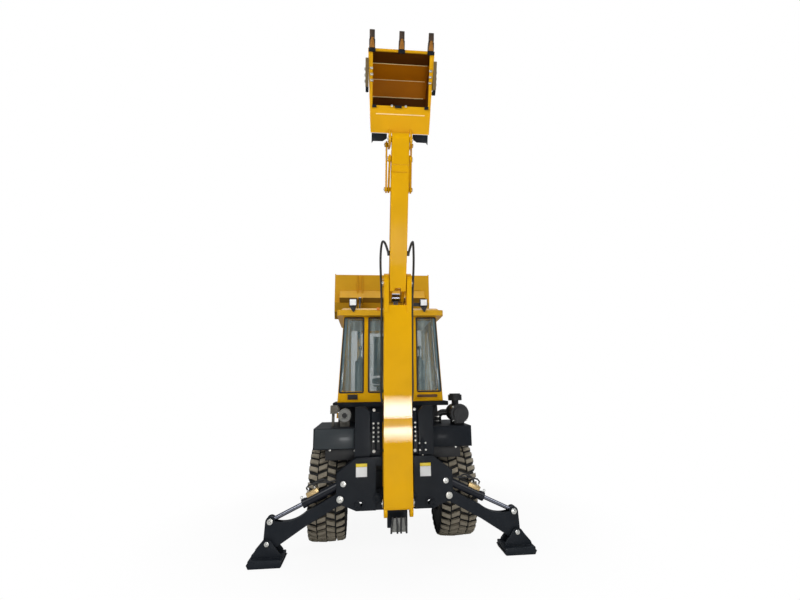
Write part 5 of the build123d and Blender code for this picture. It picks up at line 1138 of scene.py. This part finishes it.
@dataclass
class Backhoe:
    """Pins, welds, hoses, teeth and fittings of the digging arm."""

    boom_foot: Flat = (-1160, 640)
    boom_tip: Flat = (-1300, 2795)
    boom_half: float = 140.0
    ram_lug: Flat = (-895, 1800)
    ram_base: Flat = (-960, 960)
    dipper_ram_base: Flat = (-925, 2050)
    lean: float = 23.9
    dipper_half: float = 84.0
    dipper_length: float = 1430.0
    lever_u: float = 1243.0
    lip_u: float = 830.0
    wall_x: float = 272.5  # half the room between the bucket's walls at its hinge
    flare: float = 32.0 / 890.0  # and how it grows towards the lip
    cutter_x: float = 311.04
    tooth_xs: Tuple[float, ...] = (-282, 0, 282)
    swing_y: float = -900.0
    swing_caps: Tuple[Tuple[float, int], ...] = ((389, -1), (890, 1))  # height, way

    def dipper(self, u: float, v: float, x: float = 0.0) -> Point:
        """Return the point u along and v forward of the dipper's axis."""
        lean = math.radians(self.lean)
        return (x, self.boom_tip[0] - u * math.sin(lean) + v * math.cos(lean),
                self.boom_tip[1] + u * math.cos(lean) + v * math.sin(lean))

    def bucket(self, u: float, v: float, x: float = 0.0) -> Point:
        """Return a point of the digging bucket from its hinge pin."""
        return self.dipper(self.dipper_length + u, v, x)

    def _side_plate(self, bench: Bench, outline: Iterable[Flat], x: float, width: float,
                    bevel: float) -> None:
        """Add a plate of (u, v) points of the bucket, from x and as wide as given."""
        bench.plate([self.bucket(u, v, x) for u, v in outline], (width, 0, 0), bevel)

    def _face_plate(self, bench: Bench, outline: Iterable[Flat], v: float, thick: float,
                    bevel: float) -> None:
        """Add a plate of (x, u) points of the bucket, from v and as thick as given."""
        push = Vector(self.bucket(0, v + thick)) - Vector(self.bucket(0, v))
        bench.plate([self.bucket(u, v, x) for x, u in outline], tuple(push), bevel)

    def _pin_ends(self) -> None:
        """Build the pins' keeper plates and bolts at each end."""
        table = (  # name, (y, z), half-width, radius, body
            ("boom_foot", self.boom_foot, 148, 46, "swing_post"),
            ("boom_tip", self.boom_tip, 148, 48, "boom"),
            ("boom_ram_lug", self.ram_lug, 86, 30, "boom"),
            ("dipper_ram_base", self.dipper_ram_base, 86, 30, "boom"),
            ("boom_ram_base", self.ram_base, 87, 30, "swing_post"),
            ("lever", self.dipper(self.lever_u, 0)[1:], 120, 30, "dipper"),
            ("bucket_pin", self.bucket(0, 0)[1:], 116, 34, "dipper"),
            ("link_pin", self.bucket(-475, 150)[1:], 142, 28, "levers"),
            ("bucket_link_pin", self.bucket(-30, 210)[1:], 142, 28, "link"),
        )
        for name, place, reach, radius, body in table:
            ends = Bench("pin_ends_" + name, Look.ZINC, body)
            for side in SIDES:
                ends.head((side * (reach - 2), *place), (side, 0, 0), 7, radius * 0.8, 1.5, 28,
                          radius * 0.24)
            finish(ends)

    def _welds(self) -> None:
        """Build the seams down the boom's corners and along the dipper, and across both."""
        boom = Bench("boom_welds", Look.YELLOW, "boom")
        dipper = Bench("dipper_welds", Look.YELLOW, "dipper")
        for y, z in ((-1243, 1447), (-1246, 612)):
            boom.bead([(side * (self.boom_half - 4), y, z) for side in SIDES], 2.6)
        for u, v in ((1118, -70), (1188, -66)):
            dipper.bead([self.dipper(u, v, side * 80) for side in SIDES], 2.4)
        for side in SIDES:
            for seam in (((-1215, 760), (-1236, 1380)), ((-1000, 760), (-992, 1380)),
                         ((-1236, 1600), (-1338, 2430))):
                boom.bead([(side * self.boom_half, *end) for end in seam], 2.4)
            for seam in (((230, -90), (1330, -58)), ((440, 90), (1330, 54))):
                dipper.bead([self.dipper(*end, side * self.dipper_half) for end in seam], 2.2)
        finish(boom, dipper)

    def _teeth(self) -> None:
        """Build the teeth on their adapters, with the worn paint of the adapters' ridges."""
        teeth = Bench("tooth_points", Look.TOOTH, "dig_bucket")
        ridges = Bench("tooth_ridges", Look.RIDGE, "dig_bucket")
        sockets = Bench("tooth_sockets", Look.CHARCOAL, "dig_bucket")
        sections = (  # mesh, half-width, bevel, outline from the lip
            (teeth, 29, 6, ((1, 62), (1, 128), (48, 118), (84, 92), (84, 68))),
            (teeth, 25, 5, ((86, 60), (86, 98), (130, 92), (165, 80), (165, 72))),
            (sockets, 33, 3, ((-34, 58), (-2, 58), (-2, 82), (-34, 82))),
        )
        ridge = ((-25, 2), (25, 2), (20, 40), (9, 92), (-9, 92), (-20, 40))
        for x in self.tooth_xs:
            for bench, half, bevel, outline in sections:
                self._side_plate(bench, [(self.lip_u + u, v) for u, v in outline],
                                 x - half, 2 * half, bevel)
            self._face_plate(ridges, [(x + across, self.lip_u + u) for across, u in ridge],
                             62, -4, 1)
        teeth.done("bucket_teeth")
        finish(ridges, sockets)

    def _inner_x(self, u: float) -> float:
        """Return the half-width between the digging bucket's side walls."""
        return self.wall_x + self.flare * u

    def _bucket_lining(self) -> None:
        """Build the brown skin inside the digging bucket, painted darker in shade where it faces
        away from the light, with pale beads at its bends as painted highlights.
        """
        inside = Bench("bucket_lining", Look.INSIDE, "dig_bucket")
        shade = Bench("bucket_lining_shaded", Look.SHADE, "dig_bucket")
        welds = Bench("bucket_lining_welds_painted_highlight", Look.SHINE, "dig_bucket")
        skin = ((150, 268), (292, 412), (480, 462), (640, 414), (754, 262), (806, 92))
        for place, ends in enumerate(zip(skin, skin[1:])):
            (first, second), (third, fourth) = (
                [self.bucket(*end, side * self._inner_x(end[0])) for side in hand]
                for end, hand in zip(ends, (SIDES, SIDES[::-1])))
            run = Vector(self.bucket(*ends[1])) - Vector(self.bucket(*ends[0]))
            push = run.cross(Vector((1, 0, 0))).normalized() * 1.5
            # painted shade: the strips that face away from the light take the dark brown
            bench = inside if place in (2, 3) else shade
            bench.plate([first, second, third, fourth], tuple(push), 0)
        # painted shade: dark brown on the inner faces of the side walls
        for side in SIDES:
            outline = ((330, 86), (290, 402), (480, 452), (636, 404), (748, 258), (800, 86))
            shade.plate([self.bucket(u, v, side * self._inner_x(u)) for u, v in outline],
                        (-side * 1.2, 0, 0), 0)
        # painted highlight: pale beads along the bends
        for u, v, radius in ((482, 460, 5), (640, 412, 4), (752, 262, 3.5)):
            welds.bead([self.bucket(u, v, side * (self._inner_x(u) - 22)) for side in SIDES],
                       radius)
        finish(inside, shade, welds)

    def _bucket_trim(self) -> None:
        """Build the side cutters, the apron's edge and slots, the bucket's seams, a painted
        highlight along the apron's bend and charcoal plates that paint the shade over the bucket's
        foot.
        """
        shine, bolts, cutters, tips, bars, dark = (
            Bench(name, look, "dig_bucket") for name, look in (
                ("apron_bend_painted_highlight", Look.SHINE), ("cutter_bolts", Look.ZINC),
                ("side_cutters", Look.KHAKI), ("side_cutter_tips", Look.CHARCOAL),
                ("bucket_bars", Look.BUCKET), ("bucket_foot_painted_shade_and_slots", Look.CHARCOAL)))
        foot_shade_outline = ((128, 62), (280, 62), (280, -34), (264, -14), (170, -12), (128, 16))
        for side in SIDES:
            for u in (655, 600, 545):
                inner = self._inner_x(u)
                bolts.bar(self.bucket(u, 76, side * (inner - 24)),
                          self.bucket(u, 76, side * (inner + 4)), 12, 1.5, 12)
                bolts.bolt(self.bucket(u, 120, side * (self.cutter_x + 33)), (side, 0, 0), 13)
            foot = side * (self.cutter_x + 2)
            self._side_plate(cutters, ((484, 62), (742, 62), (720, 176), (640, 208), (500, 166)),
                             foot, side * 31, 3)
            self._side_plate(tips, ((438, 88), (482, 62), (482, 160), (450, 150)),
                             foot, side * 29, 3)
            # painted shade: charcoal plates stand for the bucket's foot in shade on each side of
            # the dipper
            self._face_plate(dark, [(side * x, u) for x, u in foot_shade_outline], 76, 10, 1)
            self._face_plate(dark, [(side * x, u) for x, u in oblong(236, 276, 300, 325)],
                             78, -14, 0.5)
        self._face_plate(dark, oblong(-57, 12, 303, 325), 79, -14, 0.5)
        for x in (-85, 53):
            bolts.bar(self.bucket(322, 68, x), self.bucket(322, 84, x), 11, 1.5, 16)
        # painted highlight: a pale bead along the apron's bend
        shine.bead([self.bucket(242, 69, side * 240) for side in SIDES], 5)
        for u, v in ((480, 482), (650, 432), (290, 432)):
            bars.bead([self.bucket(u, v, side * 280) for side in SIDES], 4)
        finish(shine, bolts, cutters, tips, bars, dark)

    def _hoses(self) -> None:
        """Build the two hoses from the boom's sides over to the dipper, with their fittings."""
        for name, side in HANDS:
            route = [HOUSE @ Vector((side * x, y, z)) for x, y, z in HOSE_ROUTE]
            curve = bpy.data.curves.new("boom_hose_" + name, "CURVE")
            curve.dimensions = "3D"
            curve.bevel_depth = HOSE_DIAMETER / 2
            curve.bevel_resolution = 5
            curve.resolution_u = 10
            curve.use_fill_caps = True
            spline = curve.splines.new("NURBS")
            spline.points.add(len(route) - 1)
            for point, place in zip(spline.points, route):
                point.co = (*place, 1.0)
            spline.order_u = 3
            spline.use_endpoint_u = True
            hose = bpy.data.objects.new("boom_hose_" + name, curve)
            bpy.context.scene.collection.objects.link(hose)
            curve.materials.append(Look.HOSE.value.material())
            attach(hose, "boom")
            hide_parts("boom_hoses")
            ends = Bench("hose_ends_" + name, Look.PLASTIC, "boom")
            ends.bar((side * 96, -1492, 3036), (side * 101, -1495, 3082), 16, 2, 20)
            ends.bar((side * 141, -1100, 1590), (side * 158, -1100, 1608), 17, 2, 20)
            ends.done()

    def _clamps(self) -> None:
        """Build the clamps that hold the hoses to the boom's sides."""
        clamps = Bench("hose_clamps", Look.CHARCOAL, "boom")
        for side in SIDES:
            face = side * (self.boom_half + 1)
            for y, z in ((-1120, 1120), (-1140, 1700), (-1222, 2240)):
                clamps.block((face - 3, y - 24, z - 14), (face + 3, y + 24, z + 14), 1.5)
                clamps.bolt((face + side * 3, y + 16, z), (side, 0, 0), 6)
        finish(clamps)

    def _swing_details(self) -> None:
        """Build the swing post's caps, the plate at its foot and the hoses before it."""
        caps, plate, hoses = (Bench(name, look, "swing_post") for name, look in (
            ("swing_caps", Look.CHARCOAL), ("foot_plate", Look.GREY), ("foot_hoses", Look.HOSE)))
        for z, way in self.swing_caps:
            caps.stud((0, self.swing_y, z), (0, 0, way * 8), 52, 2, 32)
            for x, y in around(4, 36, 45):
                caps.bolt((x, self.swing_y + y, z + way * 8), (0, 0, way), 6)
        plate.block((-66, -1226, 402), (66, -1221, 524), 1.5)
        for x, sway in ((-58, -14), (-20, 6), (24, -4), (60, 12)):
            hoses.tube([(x, -1235, 534), (x + sway * 0.4, -1240, 490), (x + sway, -1240, 440),
                        (x + sway, -1236, 394)], 9, 10)
        finish(caps, plate, hoses)

    def build(self) -> None:
        """Build every piece of the digging arm."""
        self._pin_ends()
        self._welds()
        self._teeth()
        self._bucket_lining()
        self._bucket_trim()
        self._clamps()
        self._hoses()
        self._swing_details()


@dataclass
class RearFrame:
    """Valve bank, plates, brackets and fittings on the backhoe's frame."""

    leg_y: float = -646.0
    rear_face: float = -715.0
    leg_pivot: Flat = (582, 592)
    ram_base: Flat = (550, 742)
    knee: Flat = (1293, 400)
    foot: Flat = (1310, 200)
    plates: Tuple[Tuple[float, float, float, float], ...] = (  # left, right, low, high
        (-418, -300, 805, 939), (272, 389, 792, 928))
    stubs: Tuple[Tuple[float, float, float, float, float, float, int, int], ...] = (
        # x, z, radius, reach, the ring's outer and inner radius, the sides of both
        (398, 520, 38, 20, 28, 16, 28, 28), (192, 590, 50, 10, 34, 24, 32, 36))
    valve_x: float = 205.0
    valve_y: float = -652.0

    def _plates(self) -> None:
        """Build the blank plates, yellow over white."""
        white = Bench("blank_plates_white", Look.WHITE_PLATE)
        yellow = Bench("blank_plates_yellow", Look.YELLOW_PLATE)
        back = self.rear_face - 0.5
        for left, right, low, high in self.plates:
            split = high - 33
            white.block((left, self.rear_face - 3, low), (right, back, split - 1), 0.8)
            yellow.block((left, self.rear_face - 3.2, split + 1), (right, back, high), 0.8)
        finish(white, yellow)

    def _valves(self) -> None:
        """Build the valve bank with its fittings and hoses."""
        bank, hoses = Bench("valve_bank", Look.CHARCOAL), Bench("valve_hoses", Look.HOSE)
        fittings = Bench("valve_fittings", Look.ZINC)
        face = self.valve_y
        for side in SIDES:
            middle = side * self.valve_x
            bank.block((middle - 42, face + 12, 1060), (middle + 42, face + 56, 1460), 6)
            for row in range(5):
                z = 1158 + row * 47
                bank.block((middle - 46, face, z - 19), (middle + 46, face + 12, z + 19), 3)
                for x in (middle - 27, middle + 27):
                    fittings.stud((x, face, z), (0, -12, 0), 13, 1.5, 6)
                    fittings.stud((x, face - 12, z), (0, -12, 0), 10, 1, 12)
                    fall = x + side * (6 * row - 12) * 0.8
                    hoses.tube([(x, face - 8, z - 8), (fall, face - 10, z - 34),
                                (fall, face - 8, 1070)], 6, 8)
            for z in (1052, 1490):
                fittings.stud((side * 226, face, z), (0, -16, 0), 17, 3, 24)
        finish(bank, fittings, hoses)

    def _frame_bolts(self) -> None:
        """Build pin heads, stubs and the bracket on the right upright."""
        heads, stubs = Bench("leg_pin_heads", Look.ZINC), Bench("frame_stubs", Look.CHARCOAL)
        bolts, bracket = Bench("bracket_bolts", Look.ZINC), Bench("diamond_bracket", Look.CHARCOAL)
        face = self.rear_face
        for side in SIDES:
            for (x, z), radius in ((self.leg_pivot, 36), (self.ram_base, 30)):
                heads.head((side * x, face, z), (0, -1, 0), 12, radius, 2.5, 32, 8)
            for x, z, radius, reach, outer, inner, sides, ring_sides in self.stubs:
                stubs.stud((side * x, face + 4, z), (0, -reach - 4, 0), radius, 3, sides)
                stubs.ring((side * x, face - reach - 2, z), Axis.Y, outer, inner, 10, ring_sides)
        bracket.plate([(264, -655, 1100), (310, -655, 982), (356, -655, 1100), (310, -655, 1202)],
                      (0, -8, 0), 2)
        bracket.stud((310, -663, 1112), (0, -12, 0), 23, 2, 24)
        for x, z in ((276, 1128), (344, 1128), (280, 1056), (346, 1056), (310, 1000)):
            bolts.stud((x, -663, z), (0, -10, 0), 10, 2, 16)
        finish(heads, stubs, bolts, bracket)

    def _foot(self, name: str, side: int) -> None:
        """Build a stabiliser's pins and the shoe round its pad.

        Args:
            name: left or right.
            side: -1 on the left, 1 on the right.
        """
        pins = Bench("knee_pin_" + name, Look.ZINC, "leg_" + name)
        feet = Bench("pad_pin_" + name, Look.ZINC, "pad_" + name)
        shoe = Bench("pad_shoe_" + name, Look.CHARCOAL, "pad_" + name)
        pins.head((side * self.knee[0], self.leg_y - 46, self.knee[1]), (0, -1, 0),
                  12, 30, 2, 32, 9)
        x, z = side * self.foot[0], self.foot[1]
        shoe.block((x - 165, self.leg_y - 152, 3), (x + 165, self.leg_y + 152, 74), 8)
        cheek = ((-152, 72), (152, 72), (142, 108), (74, 186), (40, 232), (-40, 232), (-74, 186),
                 (-142, 108))
        for end in SIDES:
            y = self.leg_y + end * 80
            feet.head((x, y, z), (0, end, 0), 8, 24, 2, 28, 8)
            shoe.plate([(x + across, y, up) for across, up in cheek], (0, end * 4, 0), 1.5)
        finish(pins, feet, shoe)

    def _lock(self, name: str, side: int) -> None:
        """Build the lock valve on a stabiliser's barrel, with its fittings and hoses.

        Args:
            name: left or right.
            side: -1 on the left, 1 on the right.
        """
        fittings, hoses, lock = (Bench(kind + name, look, "leg_" + name + "_barrel") for kind, look
                                 in (("lock_fittings_", Look.ZINC), ("leg_hoses_", Look.HOSE),
                                     ("lock_valve_", Look.BRASS)))
        base = Vector((side * self.ram_base[0], self.leg_y, self.ram_base[1]))
        run = Vector((side * self.knee[0], self.leg_y, self.knee[1])) - base
        run.normalize()
        up = Vector((-run.z, 0, run.x)) * side
        for step in (-40, 40):
            spot = base + run * 330 + up * 81 + run * step
            fittings.stud(spot, up * 16, 12, 1.5, 6)
            fittings.stud(spot + up * 16, up * 10, 9, 1, 12)
            top = spot + up * 26
            hoses.tube([top, top + up * 20, top + up * 34 - run * 30, top + up * 22 - run * 110,
                        base + run * 130 + up * 74, base + run * 60 + up * 56], 9, 10)
        fittings.ring(tuple(base + run * 452 + up * 62), Axis.Y, 15, 8, 8, 24)
        lock.block((-66, -29, 0), (66, 29, 46), 3)
        turn = Matrix((run, Vector((0, 1, 0)), up)).transposed().to_4x4()
        place = Matrix.Translation(base + run * 330 + up * 36) @ turn
        bmesh.ops.transform(lock.mesh, matrix=place, verts=lock.mesh.verts[:])
        finish(fittings, hoses, lock)

    def build(self) -> None:
        """Build every piece on the rear frame."""
        self._plates()
        self._valves()
        self._frame_bolts()
        for name, side in HANDS:
            self._foot(name, side)
            self._lock(name, side)


@dataclass
class Deck:
    """Fittings on the boxes beside the cab: lids, exhaust and air cleaner."""

    box_x: float = 430.3
    box_out: float = 900.0
    box_rear: float = -522.0
    flap_and_shade_xs: Flat = (424.0, 765.0)
    pipe_x: float = -565.0
    pipe_z: float = 1420.0
    air_x: float = 805.0

    def _lids(self) -> None:
        """Build the boxes' rear lids, the black flaps under them, made deep as painted shade over
        the tyres, and the dark panel behind them.
        """
        panels, dots = Bench("dark_panels", Look.SEAL), Bench("flap_bolts", Look.ZINC)
        for (name, side), look in zip(HANDS, (Look.SATIN, Look.CHARCOAL)):
            lids = Bench("box_lid_" + name, look)
            left, right = sorted((side * (self.box_x + 14), side * (self.box_out - 14)))
            lids.block((left, self.box_rear - 5, 1072), (right, self.box_rear, 1284), 2.5)
            finish(lids)
            # painted shade: black blocks fill the space between each box and its tyre
            left, right = sorted(side * x for x in self.flap_and_shade_xs)
            panels.block((left, -500, 948), (right, -440, 1063), 4)
            for x, z in ((438, 1046), (715, 1058)):
                dots.stud((side * x, -501, z), (0, -8, 0), 12, 2, 16)
        panels.plate([(-694, 548, 1188), (694, 548, 1188), (677, 548, 1502), (-677, 548, 1502)],
                     (0, 8, 0), 2)
        finish(panels, dots)

    def _exhaust(self) -> None:
        """Build the silencer's end, its outlet and bands."""
        ring, hole = Bench("outlet_ring", Look.GREY), Bench("outlet_hole", Look.SEAL)
        bands = Bench("silencer_bands", Look.GREY)
        x, z = self.pipe_x, self.pipe_z
        ring.spun(((10, 76), (-6, 76), (-9, 70), (-4, 58), (-6, 40), (-14, 36), (-14, 30),
                   (8, 30)), (x, -354, z), Axis.Y, 40)
        hole.stud((x, -357, z), (0, 5, 0), 31, 0, 32)
        for y in (-290, -110):
            bands.ring((x, y, z), Axis.Y, 70.5, 66, 22, 40)
            bands.bolt((x, y, z + 70), (0, 0, 1), 6)
        finish(ring, hole, bands)

    def _air_cleaner(self) -> None:
        """Build the canister's clips, its end cover's ribs and the pre-cleaner's bowl."""
        ribs, clips = Bench("air_cleaner_ribs", Look.PLASTIC), Bench("air_cleaner_clips", Look.ZINC)
        x, z = self.air_x - 15, self.pipe_z
        for radius in (74, 52, 28):
            ribs.ring((x, -477, z), Axis.Y, radius, radius - 5, 6, 40)
        for across, up in around(12, 99):
            ribs.stud((x + across, -405, z + up), (0, 305, 0), 8, 1.5, 8)
        for step in range(5):
            ribs.ring((self.air_x - 30, -250, 1578 + 12 * step), Axis.Z, 86, 80, 4, 40)
        for across, up in around(4, 110, 45):
            clips.block((x + across - 9, -436, z + up - 6), (x + across + 9, -398, z + up + 6), 2)
        for height in (1320, 1372):
            clips.ring((self.air_x - 220, -100, height), Axis.Z, 41, 37.5, 12, 32)
        finish(ribs, clips)

    def build(self) -> None:
        """Build every piece on the boxes."""
        self._lids()
        self._exhaust()
        self._air_cleaner()


@dataclass
class Loader:
    """Pin heads, welds and edge bolts of the loader arms and bucket."""

    arm_pivot: Flat = (1700, 1450)
    pin_x: float = 507.0
    back_y: float = 2849.0
    seam_zs: Flat = (3627.0, 3372.0)
    heel: Flat = (2975.0, 3065.0)
    floor_angle: float = 22.0
    bolt_reach: float = 700.0

    def build(self) -> None:
        """Build the pin heads, the seams on the bucket's back and the bolts of its edge."""
        heads = Bench("tower_pin_heads", Look.ZINC, "front")
        welds = Bench("loader_bucket_welds", Look.BUCKET, "front_bucket")
        bolts = Bench("edge_bolts", Look.ZINC, "front_bucket")
        for side in SIDES:
            heads.head((side * self.pin_x, *self.arm_pivot), (side, 0, 0), 12, 38, 2, 32, 10)
        for z in self.seam_zs:
            welds.tube([(x, self.back_y, z) for x in range(-840, 841, 120)], 3, 6)
        rise = math.radians(self.floor_angle)
        at = Vector(self.heel) + Vector((math.cos(rise), math.sin(rise))) * self.bolt_reach
        down = (0, math.sin(rise), -math.cos(rise))
        for x in range(-840, 841, 210):
            bolts.bolt((x, at.x + 3 * down[1], at.y + 3 * down[2]), down, 11)
        finish(heads, welds, bolts)


@dataclass
class Studio:
    """Camera, lamps, world and floor."""

    eye: Point = (-0.3226, -5.7514, 1.7372)
    lens: float = 19.78
    yaw: float = 0.1015
    pitch: float = 0.2174
    roll: float = 0.0150
    shift: Flat = (-9.88 / 800, -10.31 / 800)
    sky: Tuple[float, ...] = (0.92, 0.96, 1.0, 1.0)
    sky_strength: float = 0.3
    floor_size: float = 40.0
    floor_colour: Colour = (0.86, 0.86, 0.85)
    floor_rough: float = 0.9
    fade: Tuple[float, ...] = (1.6, 3.4, 0.93, 1.0)  # from and to in metres, share at each
    lamps: Tuple[Tuple[Point, Point, float, float], ...] = (  # place, target, size, watts
        ((-3.8, -6.5, 5.5), (0.0, -0.5, 1.8), 3.5, 190.0),
        ((4.5, -5.0, 4.5), (0.0, -0.5, 1.6), 3.5, 100.0),
        ((0.0, 2.5, 8.5), (0.0, 0.0, 1.0), 5.0, 240.0),
        ((0.42, -7.8, 0.3), (0.0, -1.98, 1.35), 1.2, 100.0),
    )

    def _camera(self) -> None:
        """Place the camera at the photograph's viewpoint."""
        data = bpy.data.cameras.new("view")
        data.lens = self.lens
        data.sensor_width = 36.0
        data.shift_x, data.shift_y = self.shift
        across = Vector((math.cos(self.yaw), -math.sin(self.yaw), 0))
        level = math.cos(self.pitch)
        ahead = Vector((math.sin(self.yaw) * level, math.cos(self.yaw) * level,
                        math.sin(self.pitch)))
        up = across.cross(ahead)
        right = across * math.cos(self.roll) - up * math.sin(self.roll)
        above = across * math.sin(self.roll) + up * math.cos(self.roll)
        turn = Matrix((right, above, -ahead)).transposed().to_4x4()
        camera = bpy.data.objects.new("view", data)
        place = Vector(self.eye) + Vector((0, REAR_AXLE_Y, 0))
        camera.matrix_world = Matrix.Translation(place) @ turn
        bpy.context.scene.collection.objects.link(camera)
        bpy.context.scene.camera = camera

    def _lights(self) -> None:
        """Hang large soft lamps."""
        for count, (place, target, size, watts) in enumerate(self.lamps):
            data = bpy.data.lights.new("soft_lamp_%d" % count, "AREA")
            data.shape = "RECTANGLE"
            data.size = data.size_y = size
            data.energy = watts
            lamp = bpy.data.objects.new(data.name, data)
            turn = (Vector(target) - Vector(place)).to_track_quat("-Z", "Y").to_matrix().to_4x4()
            lamp.matrix_world = Matrix.Translation(place) @ turn
            bpy.context.scene.collection.objects.link(lamp)

    def _world(self) -> None:
        """Light the scene evenly, with white behind the machine."""
        world = bpy.data.worlds.new("studio")
        bpy.context.scene.world = world
        world.use_nodes = True
        world.node_tree.nodes.clear()
        tree = Tree(world.node_tree)
        soft = tree.node("ShaderNodeBackground", {}, {0: self.sky, 1: self.sky_strength})
        white = tree.node("ShaderNodeBackground", {}, {0: WHITE, 1: 1.0})
        tree.end(tree.tree.nodes.new("ShaderNodeOutputWorld"), tree.seen(), soft, white)

    def _floor(self) -> None:
        """Lay a wide pale floor that keeps the machine's shadow and fades to white."""
        mesh = bmesh.new()
        bmesh.ops.create_grid(mesh, x_segments=1, y_segments=1, size=self.floor_size)
        data = bpy.data.meshes.new("floor")
        mesh.to_mesh(data)
        mesh.free()
        floor = bpy.data.objects.new("floor", data)
        bpy.context.scene.collection.objects.link(floor)
        recipe = Recipe("pale_floor")
        data.materials.append(recipe.finish(self.floor_colour, self.floor_rough))
        glow = recipe.node("ShaderNodeEmission", {}, {0: WHITE, 1: 1.0})
        length = recipe.node("ShaderNodeVectorMath", {"operation": "LENGTH"}, {0: recipe.place},
                             "Value")
        ends = dict(zip(("From Min", "From Max", "To Min", "To Max"), self.fade))
        fade = recipe.node("ShaderNodeMapRange", {"interpolation_type": "SMOOTHSTEP"},
                           {"Value": length, **ends}, "Result")
        lit = Flow(recipe.tree, recipe.shader.outputs[0])
        recipe.end(recipe.tree.nodes["Material Output"], recipe.seen() * fade, lit, glow)

    def build(self) -> None:
        """Set up the whole studio."""
        self._camera()
        self._lights()
        self._world()
        self._floor()


def both(*stems: str) -> Tuple[str, ...]:
    """Return the names of pieces that have a left and a right one."""
    return tuple(stem + "_" + name for stem in stems for name, _ in HANDS)


NODE_LOOKS: Dict[Look, Tuple[str, ...]] = {
    Look.BOOM: ("boom",),
    Look.YELLOW: ("cab_shell", *both("door"), "dipper", "loader_arms", "tipping_levers",
                  "bucket_link"),
    Look.BUCKET: ("dig_bucket",),
    Look.LOADER: ("loader_bucket",),
    Look.ROOF: ("cab_roof",),
    Look.COVER: ("side_covers",),
    Look.HOSE: ("boom_hoses",),
    Look.CHARCOAL: ("rear_frame", "front_frame", "backhoe_frame", "rear_axle", "front_axle",
                    "rear_fenders", "cab_base", "swing_post",
                    *both("stabiliser_leg", "stabiliser_pad")),
    Look.RAM: ("boom_ram_barrel", "dipper_ram_barrel", "bucket_ram_barrel", "lift_ram_barrels",
               "tilt_ram_barrels", *both("stabiliser_barrel")),
    Look.CHROME: ("boom_ram_rod", "dipper_ram_rod", "bucket_ram_rod", "lift_ram_rods",
                  "tilt_ram_rods", *both("stabiliser_rod")),
    Look.RIM: both("rim_rear", "rim_front"),
    Look.ENGINE: ("powertrain",),
    Look.TREAD: both("tyre_rear", "tyre_front"),
    Look.GLASS: ("cab_glass", *both("door_glass")),
    Look.PLASTIC: ("seat_base", "controls", "work_lamps", "air_cleaner"),
    Look.HEATED: ("exhaust",),
    Look.TOOTH: ("bucket_teeth",),
    Look.CLOTH: ("seat_pads",),
}


def main() -> None:
    """Build the studio, dress the frame's solids and add every piece."""
    logging.basicConfig(level=logging.INFO, format="%(message)s")
    Studio().build()
    for look, nodes in NODE_LOOKS.items():
        for node in nodes:
            set_finish(node, look)
    for axle, axle_y in (("rear", 0.0), ("front", WHEELBASE * 1000)):
        for name, side in HANDS:
            Wheel(axle + "_" + name, side, axle_y).build()
    for assembly in (Cab(), Backhoe(), RearFrame(), Deck(), Loader()):
        assembly.build()
    bpy.context.scene.view_settings.view_transform = "Standard"


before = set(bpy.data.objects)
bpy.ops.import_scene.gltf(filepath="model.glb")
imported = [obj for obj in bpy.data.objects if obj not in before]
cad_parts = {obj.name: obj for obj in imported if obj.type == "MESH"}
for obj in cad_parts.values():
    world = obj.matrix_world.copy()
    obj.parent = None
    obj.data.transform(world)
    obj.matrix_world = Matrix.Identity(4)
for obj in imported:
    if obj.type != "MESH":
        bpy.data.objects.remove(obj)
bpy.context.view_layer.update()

if __name__ == "__main__":
    main()
